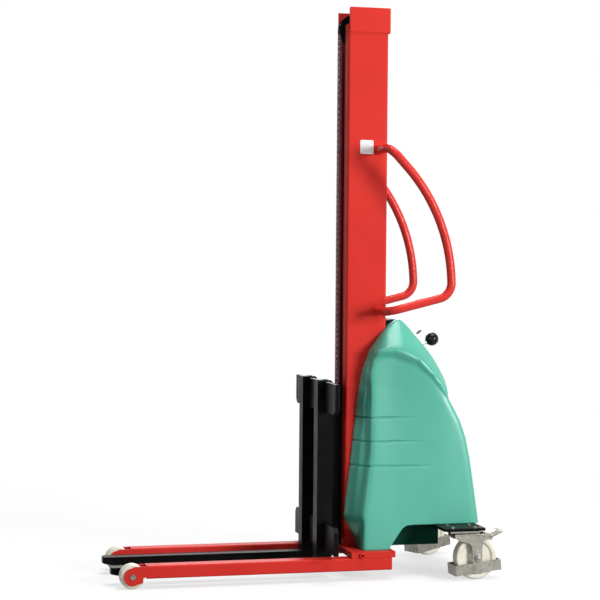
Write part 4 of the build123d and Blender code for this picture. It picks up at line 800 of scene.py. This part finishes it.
def brake_pedal(side, place, axle, hinge):
    """Pedal with a ribbed tread and a shoe that points at the wheel, and the pad under its hub."""
    shape = bmesh.new()
    hub = pointing(hinge.x, 0, hinge.z, 1)
    rod(shape, PEDAL_HUB_RADIUS, -PEDAL_HUB_HALF, PEDAL_HUB_HALF, hub, steps=28)
    slab(shape, PEDAL_ARM, -PEDAL_HALF, PEDAL_HALF, soft=1.8)
    for i in range(TREAD_RIBS):
        start = (TREAD_RIB_X + i * TREAD_PITCH, -TREAD_RIB_LENGTH / 2, TREAD_RIB_Z - i * TREAD_FALL)
        rod(shape, TREAD_RIB_RADIUS, 0, TREAD_RIB_LENGTH, standing(start, ALONG_Y), steps=10)
    move(shape, brick(shape, *BRAKE_SHOE, soft=1.5), standing(hinge, axle - hinge))
    new_piece(side + "_brake_pedal_pressing", shape, side + "_brake_pedal", place=place)
    shape = bmesh.new()
    brick(shape, *BRAKE_PAD, soft=1.5)
    new_piece(side + "_brake_pad", shape, side + "_brake_pedal", place=place,
              slot="black_case", replaces=False)


PLATE_TOP = 180
REAR_PLATE = (298, -276, 170), (446, 276, PLATE_TOP)
REAR_BEAM = (144, -40, 110), (340, 40, 170)
# The bolts' places are taken from the castor's swivel axis.
BOLT_X, BOLT_Y = (-40, 40), (-30, 30)
BOLT_WASHER = [(0, 0), (8.5, 0), (8.5, 1.2), (8, 1.6), (0, 1.6)]
BOLT_ACROSS, BOLT_HEAD, BOLT_SEAT = 11.6, 3.4, 1.5
BOLT_RADIUS, BOLT_LENGTH = 4.5, 17


def rear_frame():
    """Castor plate, and the box beam that holds it behind the mast."""
    shape = bmesh.new()
    brick(shape, *REAR_PLATE, soft=1.2)
    # Painted shade: the castor plate is red like the beam, but it is drawn in black enamel to stand in for the
    # shade under the hood.
    new_piece("rear_castor_plate_painted_shade", shape, "rear_frame", slot="black_paint")
    shape = bmesh.new()
    brick(shape, *REAR_BEAM, soft=3)
    new_piece("rear_beam", shape, "rear_frame", replaces=False)


def castor_tops():
    """Top plates of both castors and the hexagon bolts that hold them."""
    rounded("castor_plates", width=1.2)
    shape = bmesh.new()
    for side, way in SIDES.items():
        axis = pivot(side + "_castor_swivel")
        for x in BOLT_X:
            for y in BOLT_Y:
                at = Matrix.Translation(axis + Vector((x, way * y, PLATE_TOP)))
                turned(shape, BOLT_WASHER, at, steps=28)
                hexagon(shape, BOLT_ACROSS, BOLT_HEAD, at @ raised(BOLT_SEAT), soft=0.6)
                rod(shape, BOLT_RADIUS, -BOLT_LENGTH, 0, at, steps=20)
    new_piece("castor_hex_bolts", shape, "castor_bolts")


ROLLER_AT = pivot("far_front_roller_spin")
ROLLER = [(7.1, 21.9), (11, 21.9), (11.6, 21.2), (13.5, 20.6), (18, 20.6), (19.4, 21.9), (35.5, 21.9),
          (38.4, 21), (40.2, 19), (41, 16.4), (41, 0)]
LEG_HALF = 29
LEG_IN, LEG_OUT = ROLLER_AT.y - LEG_HALF, ROLLER_AT.y + LEG_HALF
ROLLER_AXLE_RADIUS = 7
ROLLER_AXLE_HEAD = [(0, 0), (10, 0), (10, 1.8), (9, 2.9), (4.6, 2.9), (4, 2.3), (0, 2.1)]


def front_roller(side):
    """Load roller with rounded edges, a raised hub face and a bush."""
    shape = bmesh.new()
    turned(shape, both_sides(ROLLER), pointing(*pivot(side + "_front_roller_spin"), 1), steps=56)
    new_piece(side + "_roller_moulding", shape, side + "_roller")


def roller_axles():
    """Axles across the roller cheeks, with chamfered heads."""
    shape = bmesh.new()
    for way in SIDES.values():
        inner = pointing(ROLLER_AT.x, way * LEG_IN, ROLLER_AT.z, way)
        rod(shape, ROLLER_AXLE_RADIUS, 0, 2 * LEG_HALF, inner, steps=28)
        for start, out in ((LEG_OUT, way), (LEG_IN, -way)):
            turned(shape, ROLLER_AXLE_HEAD, pointing(ROLLER_AT.x, way * start, ROLLER_AT.z, out), steps=32)
    new_piece("roller_axle_pins", shape, "roller_axles")


BASE_SCREW_X, BASE_SCREW_Z = 27, 87
FORK_SCREW_X, FORK_SCREW_Y, FORK_SCREW_Z = -102.8, 129, (650, 167)


def cap_screws():
    """Socket screws in the base plate's ends and in the fork uprights."""
    shape = bmesh.new()
    for way in SIDES.values():
        at = pointing(BASE_SCREW_X, way * LEG_OUT, BASE_SCREW_Z, way)
        socket_head(shape, radius=9, height=8, across=8, place=at)
    new_piece("base_cap_screws", shape, "base_bolts")
    for side, way in SIDES.items():
        shape = bmesh.new()
        for z in FORK_SCREW_Z:
            at = pointing(FORK_SCREW_X, way * FORK_SCREW_Y, z, way)
            socket_head(shape, radius=7, height=4, across=6, place=at)
        new_piece(side + "_fork_cap_screws", shape, side + "_fork_screws")


LINK_PIN_RADIUS, LINK_PIN_HALF = 2.4, 8.6
LINK_ROLLER_RADIUS, LINK_ROLLER_HALF = 4.2, 4.6
LINK_END_RADIUS, LINK_WAIST, LINK_PLATE = 4.8, 3.2, 1.8
LINK_INSIDE = (5.0, 6.9)
SHEAVE, SHEAVE_RADIUS = pivot("top_sheave_spin"), 49
PULLEY, PULLEY_RADIUS = pivot("rod_pulley_spin"), 20
FRONT_RUN_FOOT, ANCHOR_Z = 300, 1813


def chain(shape, pins):
    """Adds chain links along a row of pin centres: waisted plates, inner and outer by turns, on pins."""
    bush = [(LINK_PIN_RADIUS, -LINK_ROLLER_HALF), (LINK_ROLLER_RADIUS, -LINK_ROLLER_HALF),
            (LINK_ROLLER_RADIUS, LINK_ROLLER_HALF), (LINK_PIN_RADIUS, LINK_ROLLER_HALF)]
    for x, z in pins:
        rod(shape, LINK_PIN_RADIUS, -LINK_PIN_HALF, LINK_PIN_HALF, pointing(x, 0, z, 1), steps=8)
        turned(shape, bush, pointing(x, 0, z, 1), steps=10)
    for i, ((x0, z0), (x1, z1)) in enumerate(zip(pins, pins[1:])):
        pitch = math.hypot(x1 - x0, z1 - z0)
        top = arc(0, pitch, LINK_END_RADIUS, -40, 220, steps=6)
        foot = arc(0, 0, LINK_END_RADIUS, 140, 400, steps=6)
        plate = [(LINK_WAIST, pitch / 2)] + top + [(-LINK_WAIST, pitch / 2)] + foot
        inside = LINK_INSIDE[i % 2]
        lean = math.atan2(x1 - x0, z1 - z0)
        at = Matrix.Translation((x0, 0, z0)) @ Matrix.Rotation(lean, 4, "Y")
        for way in SIDES.values():
            move(shape, slab(shape, plate, way * inside, way * (inside + LINK_PLATE)), at)


def straight_run(x, foot, top, links):
    """Pin centres of a straight upright run of chain."""
    return [(x, foot + (top - foot) * i / links) for i in range(links + 1)]


def chains():
    """Lift chain from the carriage over the sheave and round the rod pulley to its anchor."""
    shape = bmesh.new()
    chain(shape, straight_run(SHEAVE.x - SHEAVE_RADIUS, FRONT_RUN_FOOT, SHEAVE.z, links=84))
    front = new_piece("lift_chain_links", shape, "lift_chain")
    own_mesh(front)
    shape = bmesh.new()
    chain(shape, arc(SHEAVE.x, SHEAVE.z, SHEAVE_RADIUS, 180, 0, steps=8))
    new_piece("chain_wrap_links", shape, "chain_wrap")
    for name, x, top, links, stands in (
        ("chain_tail_links", PULLEY.x - PULLEY_RADIUS, SHEAVE.z, 9, True),
        ("chain_end_links", PULLEY.x + PULLEY_RADIUS, ANCHOR_Z, 4, False),
    ):
        shape = bmesh.new()
        chain(shape, straight_run(x, PULLEY.z, top, links))
        tail = new_piece(name, shape, "chain_tail", replaces=stands, rides=False)
        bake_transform(tail)
    shape = bmesh.new()
    chain(shape, arc(PULLEY.x, PULLEY.z, PULLEY_RADIUS, -180, 0, steps=3))
    new_piece("chain_loop_links", shape, "chain_loop")


def chain_wheel(name, node, at, pitch_radius, rim, flange, bore, slot=None):
    """Grooved chain wheel with a hub and rounded flanges."""
    groove_half, root = 9.3, pitch_radius - 5.3
    face, edge, hub = groove_half + flange, pitch_radius + rim, bore + 5
    recess, bead, round_in, round_down, lip = 1, 4, 1, 0.8, 0.6
    side = [
        (bore, face), (hub, face), (hub + recess, face - recess), (edge - bead - recess, face - recess),
        (edge - bead, face), (edge - round_in, face), (edge, face - round_down),
        (edge - lip, groove_half), (root, groove_half),
    ]
    shape = bmesh.new()
    turned(shape, both_sides(side), pointing(*at, 1), steps=64)
    new_piece(name, shape, node, slot=slot)


LEVER_PIVOT, LEVER_RISE = pivot("lever_tilt"), math.radians(27.3)
LEVER_RADIUS, LEVER_LENGTH = 5, 90
LEVER_NUT_AT, LEVER_NUT_ACROSS, LEVER_NUT_HEIGHT = 71.6, 13, 5
LEVER_HUB = [(4.1, -9), (8.2, -9), (9, -8.2), (9, 8.2), (8.2, 9), (4.1, 9), (4.1, -9)]
KNOB_REACH, KNOB_RADIUS = 99.06, 24
KNOB_NECK = [(0, -4.5), (5.1, -4.5), (5.1, -23.5), (8.6, -23.5), (9.4, -22)]
KEY_SWITCH = [(0, -34), (9.4, -34), (10, -33), (10, 0), (13.2, 0), (13.5, 0.6), (13.5, 7.6), (12.4, 9),
              (6.2, 9), (6.2, 0.4), (0, 0.4)]
KEY_BARREL = [(0, 0.5), (5.9, 0.5), (5.9, 8.6), (5.4, 9), (0, 9)]
KEY_BLADE = (-1.2, -4, 8), (1.2, 4, 27)
KEY_BOW = [(3, 23), (7.5, 20), (10, 25), (10, 34), (7, 38.5), (0, 39), (-7, 38.5), (-10, 34), (-10, 25),
           (-7.5, 20), (-3, 23)]
KEY_BOW_HALF = 2.4


def lever():
    """Lever rod with its hub and lock nut, and the ball knob."""
    run = Vector((math.cos(LEVER_RISE), 0, math.sin(LEVER_RISE)))
    shape = bmesh.new()
    rod(shape, LEVER_RADIUS, 0, LEVER_LENGTH, standing(LEVER_PIVOT, run), steps=28)
    nut = standing(LEVER_PIVOT + run * LEVER_NUT_AT, run)
    hexagon(shape, LEVER_NUT_ACROSS, LEVER_NUT_HEIGHT, nut, soft=0.6)
    turned(shape, LEVER_HUB, pointing(*LEVER_PIVOT, 1), steps=32)
    new_piece("control_lever_rod", shape, "control_lever")
    shape = bmesh.new()
    ball = arc(0, 0, KNOB_RADIUS, -66, 90, steps=22)
    turned(shape, KNOB_NECK + ball, standing(LEVER_PIVOT + run * KNOB_REACH, run), steps=56)
    new_piece("ball_knob", shape, "lever_knob")


def key():
    """Key in its switch, with a black bow."""
    at = standing(pivot("key_turn"), JOINTS["key_turn"]["axis"])
    shape = bmesh.new()
    turned(shape, KEY_SWITCH, at)
    new_piece("key_switch_barrel", shape, "key_switch")
    shape = bmesh.new()
    turned(shape, KEY_BARREL, at, steps=28)
    move(shape, brick(shape, *KEY_BLADE, soft=0.4), at)
    new_piece("key_blade", shape, "key")
    shape = bmesh.new()
    move(shape, slab(shape, KEY_BOW, -KEY_BOW_HALF, KEY_BOW_HALF, soft=0.8), at)
    new_piece("key_bow", shape, "key", slot="black_case", replaces=False)


WELD_LUMPS, WELD_RING_RADIUS, WELD_LUMP_RADIUS, WELD_Y = 26, 16.2, 3.1, 78.2
HANDLE_END, HANDLE_MIDDLE = 77.2 * MM, 1250 * MM


def handle(side):
    """Push handle tube with a weld bead where each end meets the mast."""
    way = SIDES[side]
    tube = rounded(side + "_handle", width=0.4)
    tube.data.materials[0] = HANDLE_ENAMEL
    ends = [vert.co for vert in nodes[side + "_handle"].data.vertices if abs(vert.co.y) < HANDLE_END]
    shape = bmesh.new()
    for end in ([co for co in ends if co.z > HANDLE_MIDDLE], [co for co in ends if co.z < HANDLE_MIDDLE]):
        x = (min(co.x for co in end) + max(co.x for co in end)) / 2 / MM
        z = (min(co.z for co in end) + max(co.z for co in end)) / 2 / MM
        for i in range(WELD_LUMPS):
            turn = math.tau * i / WELD_LUMPS
            at = (x + WELD_RING_RADIUS * math.cos(turn), way * WELD_Y, z + WELD_RING_RADIUS * math.sin(turn))
            lump = Matrix.Translation(at) @ Matrix.Rotation(turn, 4, "Y")
            bmesh.ops.create_icosphere(shape, subdivisions=2, radius=WELD_LUMP_RADIUS, matrix=lump)
    new_piece(side + "_handle_welds", shape, side + "_handle", replaces=False)


LABEL = [(44, 1463), (92, 1463), (92, 1511), (44, 1511)]
LABEL_BACK, LABEL_FACE, LABEL_CORNER = -77, -78, 3
RIVET_X, RIVET_Z = (48.5, 87.5), (1467.5, 1506.5)
RIVET = [(0, 0), (1.9, 0), (1.7, 0.6), (1.1, 1.0), (0, 1.1)]


def label():
    """Blank square plate with rounded corners and four small rivets."""
    shape = bmesh.new()
    slab(shape, LABEL, LABEL_BACK, LABEL_FACE)
    corners = [edge for edge in shape.edges if edge.verts[0].co.y != edge.verts[1].co.y]
    round_edges(shape, corners, LABEL_CORNER, segments=4)
    soften(shape, width=0.25, least=50)
    new_piece("blank_plate", shape, "label_plate")
    shape = bmesh.new()
    for x in RIVET_X:
        for z in RIVET_Z:
            turned(shape, RIVET, pointing(x, LABEL_FACE, z, -1), steps=16)
    new_piece("blank_plate_rivets", shape, "label_plate", slot="zinc_plate", replaces=False)


# How far the edges of the plain nodes are rounded.
ROUNDED = {
    "near_leg": 1.5, "far_leg": 1.5, "base_plate": 2.0, "mast_column": 1.0, "head_cap": 0.9,
    "guide_rails": 0.8, "upper_bar": 1.8, "lower_bar": 1.8, "carriage_plates": 1.2, "chain_clevis": 1.5,
    "near_fork": 2.0, "far_fork": 2.0, "undertray": 0.9, "chain_anchor": 1.2, "unit_bracket": 1.2,
    "pump_block": 1.6, "battery": 2.0, "oil_tank": 2.0, "pump_motor": 2.5, "lift_cylinder": 1.0,
    "piston_rod": 0.8, "rod_clevis": 1.0, "lever_bracket": 0.6, "guide_shafts": 0.8,
    "upper_guide_rollers": 0.5, "lower_guide_rollers": 0.5, "sheave_pin": 0.8,
}


def build_pieces():
    """Every finished piece."""
    hood()
    for node, width in ROUNDED.items():
        rounded(node, width)
    for side in SIDES:
        castor(side)
        front_roller(side)
        handle(side)
    rear_frame()
    castor_tops()
    roller_axles()
    cap_screws()
    chains()
    # Painted shade: the steel sheave is drawn in black enamel to stand in for the shade inside the head cap.
    chain_wheel("top_sheave_wheel_painted_shade", "top_sheave", SHEAVE, SHEAVE_RADIUS,
                rim=6, flange=3, bore=10.05, slot="black_paint")
    chain_wheel("rod_pulley_wheel", "rod_pulley", PULLEY, PULLEY_RADIUS, rim=4, flange=2.5, bore=6.05)
    lever()
    key()
    label()


# The camera and the lamps are placed in metres and turned in radians. The photograph is 600 pixels wide.
FRAME_PX, FOCAL_PX = 600, 1688.5
CAMERA_AT = (-1.5883, -5.7145, 1.0749)
CAMERA_YAW, CAMERA_PITCH, CAMERA_ROLL = -0.247, -0.0206, 0.0082
LAMPS = {  # place, watts and width
    "left_lamp": ((-3.9, -4.3, 1.75), 48, 0.6),
    "right_lamp": ((3.2, -4.4, 1.7), 278, 1.8),
    "top_lamp": ((0.6, -0.5, 5.4), 240, 3.0),
    "back_lamp": ((0.8, 4.6, 2.8), 95, 2.2),
}
LAMP_AIM = Vector((0, 0, 0.9))
WORLD_LIGHT = 0.12
FLOOR_SIZE, FLOOR_GLOW, FLOOR_FADE = 30, 0.66, 2.0


def camera():
    """Camera at the photograph's place."""
    level = Vector((-math.sin(CAMERA_YAW), math.cos(CAMERA_YAW), 0))
    side = Vector((math.cos(CAMERA_YAW), math.sin(CAMERA_YAW), 0))
    ahead = level * math.cos(CAMERA_PITCH) + Vector((0, 0, math.sin(CAMERA_PITCH)))
    top = Vector((0, 0, math.cos(CAMERA_PITCH))) - level * math.sin(CAMERA_PITCH)
    right = side * math.cos(CAMERA_ROLL) + top * math.sin(CAMERA_ROLL)
    upward = top * math.cos(CAMERA_ROLL) - side * math.sin(CAMERA_ROLL)
    lens = bpy.data.cameras.new("camera")
    lens.sensor_width = 36
    lens.lens = FOCAL_PX / FRAME_PX * lens.sensor_width
    lens.clip_end = 50
    viewer = bpy.data.objects.new("camera", lens)
    turn = Matrix((right, upward, -ahead)).transposed().to_4x4()
    viewer.matrix_world = Matrix.Translation(CAMERA_AT) @ turn
    bpy.context.scene.collection.objects.link(viewer)
    bpy.context.scene.camera = viewer


def light():
    """Soft studio light, most of it from the right, and a world that looks white but lights little."""
    for name, (place, power, size) in LAMPS.items():
        lamp = bpy.data.lights.new(name, "AREA")
        lamp.energy = power
        lamp.size = size
        stand = bpy.data.objects.new(name, lamp)
        stand.location = place
        stand.rotation_euler = (LAMP_AIM - Vector(place)).to_track_quat("-Z", "Y").to_euler()
        bpy.context.scene.collection.objects.link(stand)

    world = bpy.data.worlds.new("studio")
    world.use_nodes = True
    studio = Tree(world.node_tree)
    back = studio.tree.nodes["Background"]
    studio.feed(back.inputs["Color"], (1, 1, 1))
    studio.feed(back.inputs["Strength"], WORLD_LIGHT + (1 - WORLD_LIGHT) * studio.seen_by_camera())
    bpy.context.scene.world = world
    bpy.context.scene.view_settings.view_transform = "Standard"


def floor():
    """Pale floor that keeps the shadow near the object and runs out into the white background."""
    shape = bmesh.new()
    bmesh.ops.create_grid(shape, x_segments=1, y_segments=1, size=FLOOR_SIZE)
    mesh = bpy.data.meshes.new("floor")
    shape.to_mesh(mesh)
    shape.free()
    pale = Finish("pale_floor")
    seen = pale.seen_by_camera()
    distance = pale.node("ShaderNodeVectorMath", {"operation": "LENGTH"}, {0: pale.place}, out="Value")
    tone = pale.mix(pale.noise(2.0, detail=2.0), (0.9, 0.9, 0.9), (0.93, 0.93, 0.93))
    pale.surface(Base_Color=pale.mix(seen, (0.24, 0.24, 0.24), tone), Roughness=0.8, Specular_IOR_Level=0.1)
    glow = seen * (FLOOR_GLOW + (1 - FLOOR_GLOW) * distance.above(FLOOR_FADE, soft=1.2))
    white = pale.node("ShaderNodeEmission", inputs={"Strength": 1.0})
    shaded = Value(pale, pale.shader.outputs[0])
    blend = pale.node("ShaderNodeMixShader", inputs={0: glow, 1: shaded, 2: white})
    pale.feed(pale.tree.nodes["Material Output"].inputs["Surface"], blend)
    mesh.materials.append(pale.material)
    ground = bpy.data.objects.new("floor", mesh)
    bpy.context.scene.collection.objects.link(ground)


dress_cad_nodes()
camera()
light()
floor()
build_pieces()
